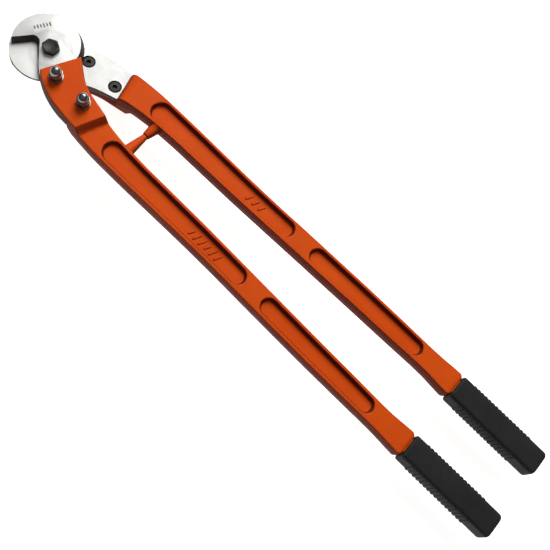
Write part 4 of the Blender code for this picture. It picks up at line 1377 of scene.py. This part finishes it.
for half in ("front", "back"):
    set_out(half, "socket_screws", socket_screw(), BLACK, "tang_screw")
    washer_high = CAP_WASHER_LOW + CAP_WASHER_THICK
    ring = flat_ring("ring", CAP_WASHER_RADIUS, SCREW_RADIUS + GAP, CAP_WASHER_LOW, washer_high, WASHER_BREAK)
    set_out(half, "nut_washers", ring, DULL, "cap_washer")
    set_out(half, "domed_nuts", cap_nut(), PLATE, "cap_nut")

# %% [markdown]
# ## Floor, light and camera
# The tool lies on a plain pale floor. A floor that only catches light would show shadows, so this one also glows
# a little, as a table lit from below does. Its base colour has a faint cloud so that it isn't one flat value.

# %% Floor
FLOOR_GLOW = 0.95  # lit from below as well, so that shadows almost vanish


def pale_floor():
    made, tree, shader = new_material("pale_floor")
    base = use(tree, grain, Fine=400.0, Cloud=3.0)
    colour = mixed(tree, base["Cloud"], (0.90, 0.90, 0.895, 1.0), (0.885, 0.885, 0.88, 1.0))
    feed(tree, shader, Base_Color=colour, Roughness=0.85, Specular_IOR_Level=0.1)
    feed(tree, shader, Emission_Color=colour, Emission_Strength=FLOOR_GLOW)
    bumped(tree, shader, base["Height"], 0.05, 0.0002)
    mesh = bpy.data.meshes.new("floor")
    reach = 6.0
    corners = [(-reach, -reach, 0), (reach, -reach, 0), (reach, reach, 0), (-reach, reach, 0)]
    mesh.from_pydata(corners, [], [(0, 1, 2, 3)])
    mesh.materials.append(made)
    floor = new_object("floor", mesh)
    return floor


floor = pale_floor()
print("floor's glow:", FLOOR_GLOW)

# %% [markdown]
# One large softbox does most of the lighting, with a small dim panel overhead and a weak sky that is brighter
# higher up. A point lamp would give hard glints on the ground steel. A wide, soft source gives it an even sheen,
# because flat metal shows whatever it mirrors.

# %% Light
LIGHT_AIM = Vector((0.0, 0.0, 0.0))


def softbox(name, place, size, watts):
    light = bpy.data.lights.new(name, "AREA")
    light.shape = "RECTANGLE"
    light.size, light.size_y = size
    light.energy = watts
    made = new_object(name, light)
    made.location = place
    made.rotation_euler = (LIGHT_AIM - Vector(place)).to_track_quat("-Z", "Y").to_euler()
    return made


softbox("key_softbox", (-1.5, 2.7, 2.9), (2.4, 2.4), 165.0)
softbox("overhead_panel", (-0.42, 0.62, 1.45), (1.2, 1.0), 2.0)
print("lights:", [(lamp.name, round(lamp.energy, 1)) for lamp in bpy.data.lights])

world = bpy.data.worlds.new("studio")
bpy.context.scene.world = world
world.use_nodes = True
sky = world.node_tree
seen = add(sky, "ShaderNodeLightPath").outputs["Is Camera Ray"]
heading = add(sky, "ShaderNodeTexCoord").outputs["Generated"]
upward = add(sky, "ShaderNodeSeparateXYZ", {0: heading}).outputs["Z"]
glow = spread(sky, upward, 0.0, 0.8, 0.06, 0.22)
shown = maths(sky, "MAXIMUM", glow, maths(sky, "MULTIPLY", seen, 0.92))
sky.links.new(shown, sky.nodes["Background"].inputs["Strength"])
sky.nodes["Background"].inputs["Color"].default_value = (1.0, 1.0, 1.0, 1.0)
bpy.context.scene.view_settings.view_transform = "Standard"

# %% [markdown]
# The camera stands about a metre above the tool. It is placed from the pivot, so that it follows the tool if the
# frame's origin moves. Three vectors fix it: where it stands, what it looks at, and which way is up.

# %% Camera
CAMERA_FROM_PIVOT = Vector((0.4791, -0.4117, 0.9797))
AIM_FROM_PIVOT = Vector((0.4249, -0.0075, 0.0))
PICTURE_UP = Vector((-0.6918, 0.6532, 0.3078))
LENS_MM = 52.84

camera_data = bpy.data.cameras.new("camera")
camera_data.lens = LENS_MM
camera_data.sensor_width = 36.0
camera = new_object("camera", camera_data)
back = (CAMERA_FROM_PIVOT - AIM_FROM_PIVOT).normalized()
right = PICTURE_UP.cross(back).normalized()
up = back.cross(right)
turned = Matrix((right, up, back)).transposed().to_4x4()
camera.matrix_world = Matrix.Translation(pivot + CAMERA_FROM_PIVOT) @ turned
bpy.context.scene.camera = camera
print("camera", [round(c, 3) for c in camera.location], "lens", LENS_MM)
